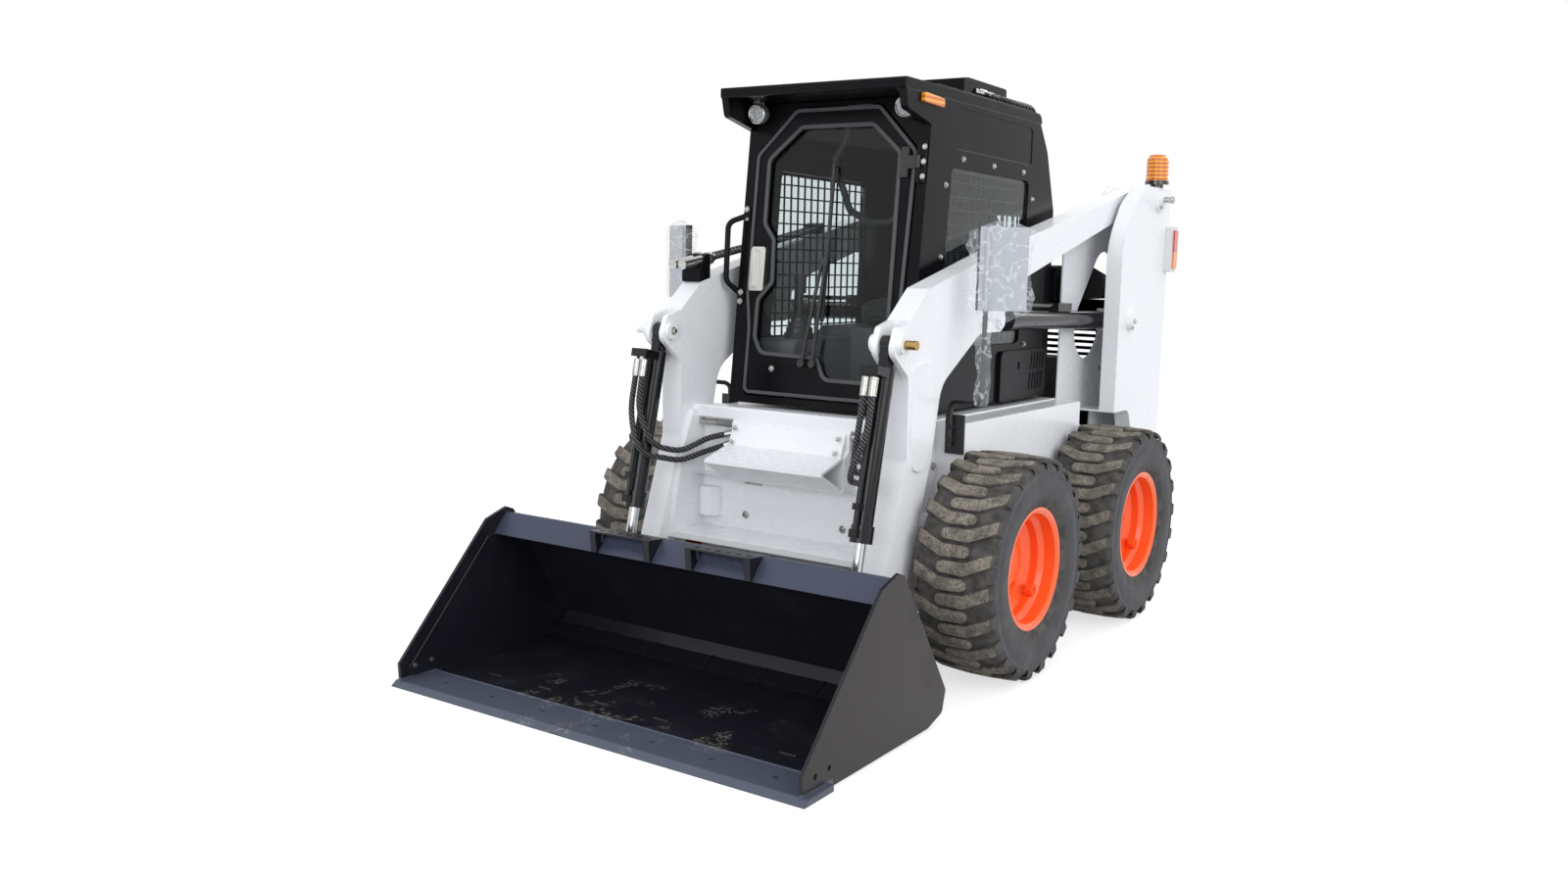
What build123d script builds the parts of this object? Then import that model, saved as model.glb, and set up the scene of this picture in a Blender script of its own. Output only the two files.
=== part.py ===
"""Skid steer loader: a rigid-frame wheeled loader with radial lift arms, cab and bucket.

Frame: millimetres, +Z up, the machine faces -Y and its left side is +X. The origin is
below the middle of the machine's overall length and width, on the ground. Distances
along the machine are measured from the front axle, and heights from the ground.
"""

import os
from math import atan2, cos, degrees, hypot, radians, sin

from build123d import *

# ---------------------------------------------------------------- overall sizes
tip_reach = 1451            # front axle to the cutting edge's tip
wheelbase = 1063
tail_reach = wheelbase + 867   # front axle to the tail lamps
track = 1463                # between the middles of left and right tyres
running_gap = 1.0           # between parts that turn or slide in each other
clearance = 6.0             # between moving parts that must not touch

# ---------------------------------------------------------------- wheels
tyre_radius = 406           # from the axle to the ground
tyre_width = 307
lug_height = 27
lugs_per_side = 20
lug_half = 36               # half of a lug's whole length round the tyre
lug_bar = 38                # how thick the bar of a lug is
lug_overlap = 54            # how far a lug passes the tyre's middle
rim_flange_radius = 222
rim_seat_radius = 208
rim_width = 262             # over the flanges
rim_wall = 9
rim_well_radius = 192       # outside of the drop well
dish_depth = 122            # from the outer flange to the wheel disc
disc_thickness = 14
wheel_nut_circle = 102      # radius of the circle of wheel nuts
wheel_nut_count = 8
hub_radius = 74
hub_length = 58
axle_shaft_radius = 48
axle_housing_radius = 78

# ---------------------------------------------------------------- lower frame
frame_half_width = 438
frame_wall = 8
frame_floor_z = 195
deck_z = 905                # top of the deck that the cab stands on
frame_front_y = -195
frame_rear_y = wheelbase + 817
case_outer_x = 556          # outer face of chain cases and fenders
case_bottom_z = 255
case_top_z = 600
fender_front_y = 20
fender_rear_y = wheelbase + 45
fender_top_z = 900
bumper_z = 340
bumper_height = 60
bumper_depth = 12
tow_plate_width = 160
tow_plate_thickness = 20
tow_hole_radius = 15
tow_y = frame_rear_y + 22

tailgate_half_width = 425
tailgate_thickness = 30

# ---------------------------------------------------------------- lift arms
arm_pivot_y = wheelbase + 687
arm_pivot_z = 1787
arm_inner_x = 450
arm_width = 90
arm_middle_x = arm_inner_x + arm_width / 2
pivot_pin_radius = 25
ear_thickness = 22          # each side of the fork that holds a tilt cylinder
tilt_pin_y = -453           # where the tilt cylinder hangs in the fork
tilt_pin_z = 1206
tilt_pin_radius = 16
lift_eye_y = 300            # where the lift cylinder's rod meets the arm
lift_eye_z = 1270
lift_base_y = wheelbase + 387   # where the lift cylinder meets the tower
lift_base_z = 1240
lift_pin_radius = 20
hinge_y = -501              # bucket hinge at the foot of the arm
hinge_z = 225
hinge_pin_radius = 22
foot_radius = 52
doubler_thickness = 8

# ---------------------------------------------------------------- cylinders
lift_barrel_radius = 40
lift_bore_radius = 32
lift_rod_radius = 22
lift_rod_shown = 140        # rod between the gland's face and its eye, arms down
lift_rod_start = 250        # base pin to the rod's hidden end, arms down
lift_eye_radius = 36
lift_eye_width = 50
lift_neck = 48              # base pin to the barrel's cap
tilt_barrel_radius = 34
tilt_bore_radius = 27
tilt_rod_radius = 19
tilt_rod_shown = 197
tilt_rod_start = 291
tilt_eye_radius = 30
tilt_eye_width = 34
tilt_neck = 82              # top pin to the barrel's cap
gland_length = 60
port_block = 30             # the block that the tilt hoses meet, along the cylinder
port_reach = 108            # from the cylinder's middle to the block's front
pipe_radius = 9
hose_radius = 11
hose_sleeve_radius = 15     # fittings on the hoses' ends

# ---------------------------------------------------------------- towers
tower_inner_x = 430
tower_outer_x = 630
tower_plate = 8
tower_top_z = arm_pivot_z + 55
tower_rear_y = wheelbase + 842
tower_front_y = wheelbase + 257
tower_foot_z = 560
tower_bend_z = tower_top_z - 260       # where the tower's front edge starts to curve back
window_hole_radius = 137    # the long hole in a tower's inner plate
lamp_low_z = 1460
lamp_height = 210
tower_flange_x = 560        # inner edge of the flange down the tower's front
pivot_boss_radius = 55
boss_length = 24

# ---------------------------------------------------------------- cab
cab_half_width = 400
cab_wall = 30
cab_sill_z = 922
cab_front_y = -145          # front face at the sill
cab_lean = 6.1              # degrees that the front face leans back
cab_rear_y = wheelbase + 27
roof_front_y = -229
roof_rear_y = cab_rear_y - 176
roof_top_z = 2117           # at the front edge
roof_fall = 18              # how much lower the roof is at its rear edge
roof_thickness = 38
cheek_low_z = 2012          # lowest front corner of the visor's side cheeks
cheek_root_z = 1972         # where the cheeks meet the cab's front face
pane_low_z = 1158           # lower edge of the side windows
pane_high_z = 1832
grille_pitch = 50
grille_bar = 6
door_gap = 6
door_hinge_x = 368
door_half_width = 356
door_hinge_proud = 15      # hinge line in front of the cab's face
glass_thickness = 6
glass_seat = 12

# ---------------------------------------------------------------- bucket
bucket_half_width = 835     # over the side plates
edge_half_width = 853       # cutting edge
side_plate = 12
shell_thickness = 8
edge_thickness = 18
edge_depth = 150
back_lean = 34.6            # degrees that the bucket's back leans forward
heel_y = -620               # inner corner where the back meets the heel strip
heel_z = 102
attach_half_width = 572
attach_plate = 12
attach_height = 400
attach_ear = 14
tilt_crank_y = -640         # where the tilt rod meets the attach frame
tilt_crank_z = 355

# ---------------------------------------------------------------- places worked out
axle_y = (tip_reach - tail_reach) / 2
wheel_x = track / 2
sides = (("left", 1), ("right", -1))
ends = (("front", 0), ("rear", wheelbase))


def side_plane(x):
    """A plane across the machine at x, its own x and y running back and up."""
    return Plane(origin=(x, axle_y, 0), x_dir=(0, 1, 0), z_dir=(1, 0, 0))


def front_plane(y):
    """A plane facing forward, y behind the front axle, its own x and y left and up."""
    return Plane(origin=(0, axle_y + y, 0), x_dir=(1, 0, 0), z_dir=(0, -1, 0))


def level_plane(z):
    """A level plane at height z, its own x and y running left and back."""
    return Plane(origin=(0, axle_y, z), x_dir=(1, 0, 0), z_dir=(0, 0, 1))


def outline(plane, corners):
    """A closed outline with corners (across, up, corner radius) on a plane."""
    with BuildSketch(plane) as shape:
        with BuildLine():
            FilletPolyline(
                *[(across, up) for across, up, radius in corners],
                radius=[radius for across, up, radius in corners],
                close=True,
            )
        make_face()
    return shape.sketch


def plate(plane, corners, thickness, mode=Mode.ADD):
    """Add a plate of the outline given, or cut it, as thick as given along the normal."""
    extrude(to_extrude=outline(plane, corners), amount=thickness, mode=mode)


def block(x_low, x_high, y_low, y_high, z_low, z_high, mode=Mode.ADD):
    """Add or cut a box between the limits given, y measured from the front axle."""
    corners = (
        (x_low, y_low, 0),
        (x_high, y_low, 0),
        (x_high, y_high, 0),
        (x_low, y_high, 0),
    )
    plate(level_plane(z_low), corners, z_high - z_low, mode)


def across_rod(x_low, x_high, y, z, radius, mode=Mode.ADD):
    """Add or cut a round bar that runs across the machine."""
    with BuildSketch(side_plane(x_low)) as section:
        with Locations((y, z)):
            Circle(radius)
    extrude(to_extrude=section.sketch, amount=x_high - x_low, mode=mode)


def mirrored(part, label):
    """The same piece for the machine's right side."""
    with BuildPart() as other:
        mirror(part, about=Plane.YZ)
    other.part.label = label
    return other.part


def save(part, label):
    """Label a finished piece and write it as parts/label.step."""
    part.label = label
    export_step(part, f"parts/{label}.step")

def tube(points, radius, bend):
    """Add a round tube along straight runs joined by bends, y from the front axle."""
    spots = [(x, axle_y + y, z) for x, y, z in points]
    with BuildLine() as path:
        FilletPolyline(*spots, radius=bend)
    start = path.line.edges()[0]
    with BuildSketch(Plane(origin=start @ 0, z_dir=start % 0)) as section:
        Circle(radius)
    sweep(section.sketch, path=path.line)


def upright(x, y, z_low, z_high, radius, mode=Mode.ADD):
    """Add or cut a round upright bar, y from the front axle."""
    with BuildSketch(level_plane(z_low)) as section:
        with Locations((x, y)):
            Circle(radius)
    extrude(to_extrude=section.sketch, amount=z_high - z_low, mode=mode)


os.makedirs("parts", exist_ok=True)

# ================================================================ tyres and rims
lug_pitch = 360 / lugs_per_side
half_pitch = radians(lug_pitch / 2)
lug_top = (tyre_radius - sin(half_pitch) * lug_half) / cos(half_pitch)
crown_radius = lug_top - lug_height
rim_half = rim_width / 2
tyre_half = tyre_width / 2
tyre_bore = rim_seat_radius + 0.5
bulge_radius = (crown_radius + rim_flange_radius) / 2


def wheel_plane(y):
    """The plane through a left wheel's axle, its own x outwards and y up from the axle."""
    return Plane(origin=(wheel_x, axle_y + y, tyre_radius), x_dir=(1, 0, 0), z_dir=(0, -1, 0))


def make_tyre(axle):
    """A tyre on the left side: a carcass with a flat for each pair of lugs, and the lugs."""
    hub = Plane(origin=(wheel_x, axle_y + axle, tyre_radius), x_dir=(0, 1, 0), z_dir=(1, 0, 0))
    across = Vector(1, 0, 0)
    flat_section = (
        # across from the tyre's middle, distance of the flat from the axle
        (-tyre_half + 40, tyre_bore),
        (-tyre_half, bulge_radius),
        (-tyre_half + 13, crown_radius),
        (tyre_half - 13, crown_radius),
        (tyre_half, bulge_radius),
        (tyre_half - 40, tyre_bore),
    )
    lug_plan = (
        # across from the tyre's middle, round the tyre
        (-lug_overlap, -lug_half + 20),
        (tyre_half * 0.34, -lug_half),
        (tyre_half - 3, lug_half - lug_bar),
        (tyre_half - 3, lug_half),
        (tyre_half * 0.36, lug_half - lug_bar + 6),
        (-lug_overlap * 0.8, -lug_half + lug_bar - 4),
    )
    with BuildPart() as tyre:
        for step in range(lugs_per_side):
            # each flat is a slice of the carcass between two planes half a pitch away
            turn = radians(step * lug_pitch)
            up = Vector(0, -sin(turn), cos(turn))
            with BuildPart(mode=Mode.PRIVATE) as flat:
                with BuildSketch(Plane(origin=hub.origin, x_dir=across, z_dir=across.cross(up))):
                    with BuildLine():
                        Polyline(*flat_section, close=True)
                    make_face()
                extrude(amount=crown_radius * sin(half_pitch) + 5, both=True)
                with BuildSketch(hub.offset(-tyre_width)):
                    with BuildLine():
                        Polyline(
                            (0, 0),
                            (-500 * sin(turn - half_pitch), 500 * cos(turn - half_pitch)),
                            (-500 * sin(turn + half_pitch), 500 * cos(turn + half_pitch)),
                            close=True,
                        )
                    make_face()
                extrude(amount=2 * tyre_width, mode=Mode.INTERSECT)
            add(flat.part)
        for hand, start in ((1, 0), (-1, half_pitch)):
            for step in range(lugs_per_side):
                turn = start + radians(step * lug_pitch)
                up = Vector(0, -sin(turn), cos(turn))
                base = Plane(origin=hub.origin + up * bulge_radius, x_dir=(hand, 0, 0), z_dir=up)
                with BuildSketch(base) as plan:
                    with BuildLine():
                        Polyline(*lug_plan, close=True)
                    make_face()
                extrude(to_extrude=plan.sketch, amount=lug_top - bulge_radius)
    return tyre.part


def make_rim(axle):
    """A left wheel's rim: a welded barrel and dished disc, its hub, nuts and valve guard."""
    plane = wheel_plane(axle)
    spin = Axis((wheel_x, axle_y + axle, tyre_radius), (1, 0, 0))
    disc_face = rim_half - dish_depth
    disc_back = disc_face - disc_thickness
    seat = rim_seat_radius
    well = rim_well_radius
    with BuildSketch(plane) as section:
        with BuildLine():
            Polyline(
                # the outboard flange, seat ledge, drop well and dish, seen from inside
                (rim_half, rim_flange_radius),
                (rim_half, rim_flange_radius - rim_wall),
                (rim_half - rim_wall, seat - rim_wall),
                (rim_half - 52, seat - rim_wall),
                (rim_half - 70, well - rim_wall),
                (disc_face + 22, well - rim_wall),
                (disc_face, well - rim_wall - 36),
                (disc_face, 0),
                (disc_back, 0),
                (disc_back, well - rim_wall),
                (-rim_half + 70, well - rim_wall),
                (-rim_half + 52, seat - rim_wall),
                (-rim_half + rim_wall, seat - rim_wall),
                (-rim_half, rim_flange_radius - rim_wall),
                # the same from the tyre's side
                (-rim_half, rim_flange_radius),
                (-rim_half + rim_wall, seat),
                (-rim_half + 52, seat),
                (-rim_half + 70, well),
                (rim_half - 70, well),
                (rim_half - 52, seat),
                (rim_half - rim_wall, seat),
                close=True,
            )
        make_face()
    hub_face = Plane(
        origin=(wheel_x + disc_face, axle_y + axle, tyre_radius), x_dir=(0, 1, 0), z_dir=(1, 0, 0)
    )
    with BuildPart() as rim:
        revolve(section.sketch, axis=spin)
        with BuildSketch(hub_face):
            Circle(hub_radius)
        extrude(amount=26)
        with BuildSketch(hub_face):
            with PolarLocations(wheel_nut_circle, wheel_nut_count):
                RegularPolygon(14, 6)
        extrude(amount=18)
        with BuildSketch(hub_face.offset(-disc_thickness)):
            Circle(axle_shaft_radius)
        extrude(amount=-hub_length - 40)
        # the guard over the valve stands on the drop well, towards the rear and low
        with BuildSketch(hub_face.offset(36)) as guard:
            with Locations(Rot(0, 0, -40) * Pos(well - rim_wall - 10, 0)):
                RegularPolygon(24, 8)
                Circle(9, mode=Mode.SUBTRACT)
        extrude(to_extrude=guard.sketch, amount=28)
    return rim.part


tyre_front_left = make_tyre(0)
rim_front_left = make_rim(0)
for end, axle in ends:
    left_tyre = tyre_front_left.moved(Location((0, axle, 0)))
    left_rim = rim_front_left.moved(Location((0, axle, 0)))
    save(left_tyre, f"tyre_{end}_left")
    save(left_rim, f"rim_{end}_left")
    save(mirrored(left_tyre, "tyre"), f"tyre_{end}_right")
    save(mirrored(left_rim, "rim"), f"rim_{end}_right")

# ================================================================ axle housings
disc_inner_x = wheel_x + rim_half - dish_depth - disc_thickness
housing_end_x = disc_inner_x - clearance
with BuildPart() as axle_housings:
    for hand in (1, -1):
        for end, axle in ends:
            run = hand * (housing_end_x - case_outer_x)
            with BuildSketch(side_plane(hand * case_outer_x)) as housing:
                with Locations((axle, tyre_radius)):
                    Circle(axle_housing_radius)
            extrude(to_extrude=housing.sketch, amount=run)
            with BuildSketch(side_plane(hand * case_outer_x)) as flange:
                with Locations((axle, tyre_radius)):
                    Circle(axle_housing_radius + 32)
            extrude(to_extrude=flange.sketch, amount=hand * 16)
            with BuildSketch(side_plane(hand * case_outer_x)) as bearing:
                with Locations((axle, tyre_radius)):
                    Circle(axle_shaft_radius + running_gap)
            extrude(to_extrude=bearing.sketch, amount=run, mode=Mode.SUBTRACT)
save(axle_housings.part, "axle_housings")

# ================================================================ lower frame
# Corner radii stay under half of the chain case's shortest edge.
case_corner = min(60, (case_top_z - case_bottom_z) / 4)
case_profile = (
    (-100, case_bottom_z, case_corner),
    (wheelbase + 100, case_bottom_z, case_corner),
    (wheelbase + 140, case_top_z - 60, 0),
    (fender_rear_y, case_top_z, 0),
    (fender_rear_y, fender_top_z, 0),
    (fender_front_y, fender_top_z, 0),
    (fender_front_y, case_top_z, 0),
    (-140, case_top_z - 60, case_corner),
)
tub_profile = (
    (frame_front_y, 330, 0),
    (frame_front_y + 110, frame_floor_z, 0),
    (frame_rear_y - 120, frame_floor_z, 0),
    (frame_rear_y, 300, 0),
    (frame_rear_y, deck_z - 360, 0),
    (cab_rear_y + 20, deck_z, 0),
    (frame_front_y, deck_z, 0),
)
tub_hollow = (
    (frame_front_y + frame_wall, 338, 0),
    (frame_front_y + 114, frame_floor_z + frame_wall, 0),
    (frame_rear_y - 122, frame_floor_z + frame_wall, 0),
    (frame_rear_y - frame_wall, 306, 0),
    (frame_rear_y - frame_wall, deck_z + 200, 0),
    (cab_rear_y + 20, deck_z + 200, 0),
    (cab_rear_y + 20, deck_z - frame_wall, 0),
    (frame_front_y + frame_wall, deck_z - frame_wall, 0),
)
with BuildPart() as chassis_frame:
    plate(side_plane(-frame_half_width), tub_profile, 2 * frame_half_width)
    plate(
        side_plane(-frame_half_width + frame_wall),
        tub_hollow,
        2 * (frame_half_width - frame_wall),
        Mode.SUBTRACT,
    )
    for hand in (1, -1):
        plate(side_plane(hand * (frame_half_width - frame_wall)), case_profile,
              hand * (case_outer_x - frame_half_width + frame_wall))
    block(-frame_half_width, frame_half_width, frame_rear_y - frame_wall,
          frame_rear_y - frame_wall + bumper_depth, bumper_z, bumper_z + bumper_height)
    block(-tow_plate_width / 2, tow_plate_width / 2, frame_rear_y - 60, tow_y + 28,
          bumper_z - tow_plate_thickness, bumper_z)
    upright(0, tow_y, bumper_z - tow_plate_thickness, bumper_z + bumper_height + 40,
            tow_hole_radius, Mode.SUBTRACT)
save(chassis_frame.part, "chassis_frame")

# ================================================================ towers
tower_shoulder_y = tower_front_y + 271      # front edge at the tower's top
tower_edge = (
    (tower_front_y, 838, 0),
    (tower_front_y, tower_bend_z, 280),
    (tower_front_y + 125, tower_top_z - 90, 200),
    (tower_shoulder_y, tower_top_z, 0),
    (tower_rear_y, tower_top_z, 0),
    (tower_rear_y, tower_foot_z, 0),
    (tower_front_y + 300, tower_foot_z, 60),
    (tower_front_y + 180, 838, 60),
)
tower_flange_inner = (
    (tower_front_y + tower_plate, 846, 0),
    (tower_front_y + tower_plate, tower_bend_z - 2.6, 272),
    (tower_front_y + 130.5, tower_top_z - 96, 192),
    (tower_shoulder_y + 80, tower_top_z + 40, 0),
    (tower_rear_y + 40, tower_top_z + 40, 0),
    (tower_rear_y + 40, tower_foot_z - 60, 0),
    (tower_front_y + 308, tower_foot_z - 60, 0),
    (tower_front_y + 308, tower_foot_z + 8, 60),
    (tower_front_y + 184, 846, 60),
)
tower_web = (
    (fender_rear_y + 2, deck_z - 60, 0),
    (fender_rear_y + 2, tower_bend_z + 10, 40),
    (fender_rear_y + 62, tower_bend_z + 80, 40),
    (tower_front_y + 120, tower_bend_z + 160, 60),
    (tower_front_y + 260, tower_top_z, 0),
    (tower_rear_y, tower_top_z, 0),
    (tower_rear_y, tower_foot_z, 0),
    (tower_front_y + 180, tower_foot_z, 0),
    (tower_front_y + 180, deck_z - 60, 0),
)
tower_web_x = tower_inner_x + 10
lift_ear_x = arm_middle_x - lift_eye_width / 2 - clearance - tower_plate
with BuildPart() as towers:
    plate(side_plane(tower_flange_x), tower_edge, tower_outer_x - tower_flange_x)
    plate(side_plane(tower_flange_x), tower_flange_inner,
          tower_outer_x - tower_plate - tower_flange_x, Mode.SUBTRACT)
    plate(side_plane(tower_web_x), tower_web, tower_plate)
    block(tower_web_x, tower_outer_x, tower_rear_y - tower_plate, tower_rear_y,
          tower_foot_z, tower_top_z)
    block(tower_web_x, tower_outer_x, tower_front_y + 300, tower_rear_y,
          tower_foot_z, tower_foot_z + tower_plate)
    block(tower_web_x, tower_flange_x + tower_plate, tower_front_y, tower_front_y + 180,
          838, 838 + tower_plate)
    # a shelf at the top carries the beacon, or a bracket on the right side
    block(tower_outer_x - 82, tower_outer_x, arm_pivot_y - 30, tower_rear_y,
          tower_top_z - tower_plate, tower_top_z)
    # the long hole in the inner plate, the small round one and the pin bosses
    with BuildSketch(side_plane(tower_web_x)) as tower_window:
        with Locations(Location((lift_base_y + 40, lift_base_z + 67), 48.7)):
            SlotCenterToCenter(273, 2 * window_hole_radius)
        with Locations((lift_base_y + 146, lift_base_z - 232)):
            Circle(14)
    extrude(to_extrude=tower_window.sketch, amount=tower_plate, mode=Mode.SUBTRACT)
    # an ear on a gusset from the outer plate holds the lift pin's inner end
    across_rod(lift_ear_x, lift_ear_x + tower_plate, lift_base_y, lift_base_z, lift_eye_radius)
    block(lift_ear_x, lift_ear_x + tower_plate, lift_base_y, lift_base_y + lift_eye_radius + 26,
          lift_base_z - lift_eye_radius, lift_base_z + lift_eye_radius)
    block(lift_ear_x, tower_outer_x - tower_plate, lift_base_y + lift_eye_radius + 14,
          lift_base_y + lift_eye_radius + 26, lift_base_z - 50, lift_base_z + 50)
    across_rod(tower_web_x, tower_outer_x + boss_length, arm_pivot_y, arm_pivot_z, pivot_pin_radius)
    across_rod(tower_outer_x - tower_plate - 60, tower_outer_x + boss_length - 6,
               arm_pivot_y, arm_pivot_z - 4, pivot_boss_radius - 4)
    across_rod(tower_outer_x - tower_plate, tower_outer_x + boss_length,
               lift_base_y, lift_base_z, pivot_boss_radius - 15)
    across_rod(lift_ear_x, tower_outer_x + boss_length - 6,
               lift_base_y, lift_base_z, lift_pin_radius)
    mirror(towers.part, about=Plane.YZ)
save(towers.part, "towers")

# ================================================================ lift arms
arm_profile = (
    # back along the top, round the pivot, forward along the underside and down the leg
    (-392, 1283, 10),
    (-261, 1391, 20),
    (383, 1554, 0),
    (arm_pivot_y - 50, arm_pivot_z + 51, 30),
    (arm_pivot_y + 58, arm_pivot_z + 51, 50),
    (arm_pivot_y + 58, arm_pivot_z - 59, 50),
    (arm_pivot_y - 110, arm_pivot_z - 59, 40),
    (506, 1425, 60),
    (lift_eye_y + 50, 1345, 0),
    (lift_eye_y + 45, lift_eye_z - 45, 44),
    (lift_eye_y - 45, lift_eye_z - 45, 44),
    (140, 1223, 80),
    (-150, 1050, 120),
    (-205, 800, 60),
    (-330, 420, 0),
    (hinge_y + foot_radius, hinge_z - foot_radius, foot_radius - 2),
    (hinge_y - foot_radius, hinge_z - foot_radius, foot_radius - 2),
    (hinge_y - foot_radius, hinge_z + 65, 30),
    (-385, 800, 60),
    (-388, 1090, 40),
    (tilt_pin_y - 50, tilt_pin_z - 26, 44),
    (tilt_pin_y - 17, tilt_pin_z + 56, 20),
)
doubler_profile = (
    (-365, 1120, 20),
    (-250, 1150, 60),
    (-195, 1010, 60),
    (-215, 850, 60),
    (-265, 760, 45),
    (-350, 760, 45),
    (-375, 900, 60),
)
arm_outer_x = arm_inner_x + arm_width
with BuildPart() as lift_arms:
    plate(side_plane(arm_inner_x), arm_profile, arm_width)
    plate(side_plane(arm_outer_x), doubler_profile, doubler_thickness)
    # the fork that holds the tilt cylinder and the pocket that holds the lift rod's eye
    block(arm_inner_x + ear_thickness, arm_outer_x - ear_thickness,
          tilt_pin_y - 250, tilt_pin_y + 66, tilt_pin_z - 166, tilt_pin_z + 194, Mode.SUBTRACT)
    block(arm_inner_x + 12, arm_outer_x - 12, lift_eye_y - 100, lift_eye_y + 160,
          lift_eye_z - 120, lift_eye_z + 52, Mode.SUBTRACT)
    across_rod(arm_inner_x, arm_outer_x, arm_pivot_y, arm_pivot_z,
               pivot_pin_radius + running_gap, Mode.SUBTRACT)
    across_rod(arm_inner_x, arm_outer_x, hinge_y, hinge_z,
               hinge_pin_radius + running_gap, Mode.SUBTRACT)
    # bosses on both faces of the fork, the tilt pin, and the boss of the lift pin
    for low, high in ((arm_inner_x - 16, arm_inner_x), (arm_outer_x, arm_outer_x + 20)):
        across_rod(low, high, tilt_pin_y, tilt_pin_z, tilt_pin_radius + 16)
    across_rod(arm_inner_x - 16, arm_outer_x + 64, tilt_pin_y, tilt_pin_z, tilt_pin_radius)
    across_rod(arm_outer_x - 12, arm_outer_x + 10, lift_eye_y, lift_eye_z, lift_eye_radius - 2)
    across_rod(arm_outer_x - 12, arm_outer_x + 16, lift_eye_y, lift_eye_z, lift_pin_radius)
    mirror(lift_arms.part, about=Plane.YZ)
save(lift_arms.part, "lift_arms")

beam_front_y = -300
beam_rear_y = -210
beam_top_z = 920
recess_y = -262             # the front face of the crossmember's back panel
ledge_y = -455              # front edge of the ledge at the bottom
ledge_z = 420
beam_profile = (
    # a channel that faces forward: top beam, back panel and bottom ledge
    (beam_front_y, beam_top_z, 10),
    (beam_rear_y, beam_top_z, 10),
    (beam_rear_y, ledge_z + 20, 0),
    (beam_rear_y - 42, ledge_z, 0),
    (ledge_y, ledge_z, 0),
    (ledge_y + 3, ledge_z + 22, 0),
    (recess_y, ledge_z + 26, 0),
    (recess_y, 640, 0),
    (-340, 655, 0),
    (-340, 777, 0),
    (beam_front_y - 8, 800, 0),
    (beam_front_y - 8, 862, 0),
    (beam_front_y, 870, 0),
)
cover_half = 250            # half the width of the cover over the pipes
step_half = 258
step_front_y = -484
with BuildPart() as front_crossmember:
    plate(side_plane(-arm_inner_x), beam_profile, 2 * arm_inner_x)
    # beyond the step the beam is open at the front, so the pipes can pass
    for hand in (1, -1):
        block(hand * (step_half + 4), hand * (arm_inner_x - 22), -360, recess_y, 655, 874,
              Mode.SUBTRACT)
        side_wall = (
            (recess_y, ledge_z + 10, 0),
            (ledge_y, ledge_z + 10, 0),
            (-395, 760, 0),
            (-330, 900, 0),
            (recess_y, 900, 0),
        )
        plate(side_plane(hand * arm_inner_x), side_wall, -hand * 22)
        # a curved cover over the bucket lock stands in each corner of the recess
        with BuildSketch(level_plane(490)) as lock_cover:
            with Locations((hand * 388, recess_y)):
                Circle(50)
        extrude(to_extrude=lock_cover.sketch, amount=112)
    # the long hole under the step and the folded step itself
    block(-230, -150, recess_y, recess_y + 30, 624, 640, Mode.SUBTRACT)
    step_profile = (
        (-330, 770, 0),
        (-340, 785, 0),
        (step_front_y, 740, 0),
        (step_front_y, 728, 0),
        (-346, 650, 0),
        (-330, 660, 0),
        (-342, 664, 0),
        (step_front_y + 10, 734, 0),
        (-342, 774, 0),
    )
    plate(side_plane(-step_half), step_profile, 2 * step_half)
    # the bolted cover over the pipes leans back above the step
    cover_profile = (
        (-334, 770, 0),
        (-348, 780, 0),
        (beam_front_y - 14, 864, 0),
        (beam_front_y + 2, 858, 0),
        (beam_front_y + 2, 800, 0),
    )
    plate(side_plane(-cover_half), cover_profile, 2 * cover_half)
    for hand in (1, -1):
        for bolt_y, bolt_z in ((-342, 796), (-322, 846)):
            with BuildSketch(Plane(origin=(hand * (cover_half - 22), axle_y + bolt_y, bolt_z),
                                   x_dir=(1, 0, 0), z_dir=(0, -84, 38))) as bolt:
                Circle(9)
            extrude(to_extrude=bolt.sketch, amount=12, both=True)
        with BuildSketch(front_plane(recess_y)) as recess_bolt:
            with Locations((hand * 219, 506)):
                Circle(13)
        extrude(to_extrude=recess_bolt.sketch, amount=8)
save(front_crossmember.part, "front_crossmember")


# ================================================================ cylinders
def cylinder_plane(pin, aim):
    """A plane at a pin on the left arm's middle, its normal pointing along the cylinder."""
    run = Vector(0, aim[0] - pin[0], aim[1] - pin[1]).normalized()
    return Plane(origin=(arm_middle_x, axle_y + pin[0], pin[1]), x_dir=(1, 0, 0), z_dir=run)


def round_bar(plane, start, end, radius, mode=Mode.ADD, across=0, ahead=0):
    """Add or cut a round bar along a plane's normal, beside its middle if so told."""
    with BuildSketch(plane.offset(start)) as section:
        with Locations((across, ahead)):
            Circle(radius)
    extrude(to_extrude=section.sketch, amount=end - start, mode=mode)


def square_bar(plane, start, end, x_low, x_high, y_low, y_high):
    """Add a square bar along a plane's normal between limits on the plane."""
    with BuildSketch(plane.offset(start)) as section:
        with Locations(((x_low + x_high) / 2, (y_low + y_high) / 2)):
            Rectangle(x_high - x_low, y_high - y_low)
    extrude(to_extrude=section.sketch, amount=end - start)


def eye(plane, distance, radius, width, bore):
    """Add the eye of a cylinder, at a distance along it, with its neck towards the body."""
    middle = Plane(origin=plane.origin + plane.z_dir * distance - plane.x_dir * (width / 2),
                   x_dir=plane.z_dir, z_dir=plane.x_dir)
    with BuildSketch(middle) as ring:
        Circle(radius)
    extrude(to_extrude=ring.sketch, amount=width)
    with BuildSketch(middle) as hole:
        Circle(bore)
    extrude(to_extrude=hole.sketch, amount=width, mode=Mode.SUBTRACT)


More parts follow.
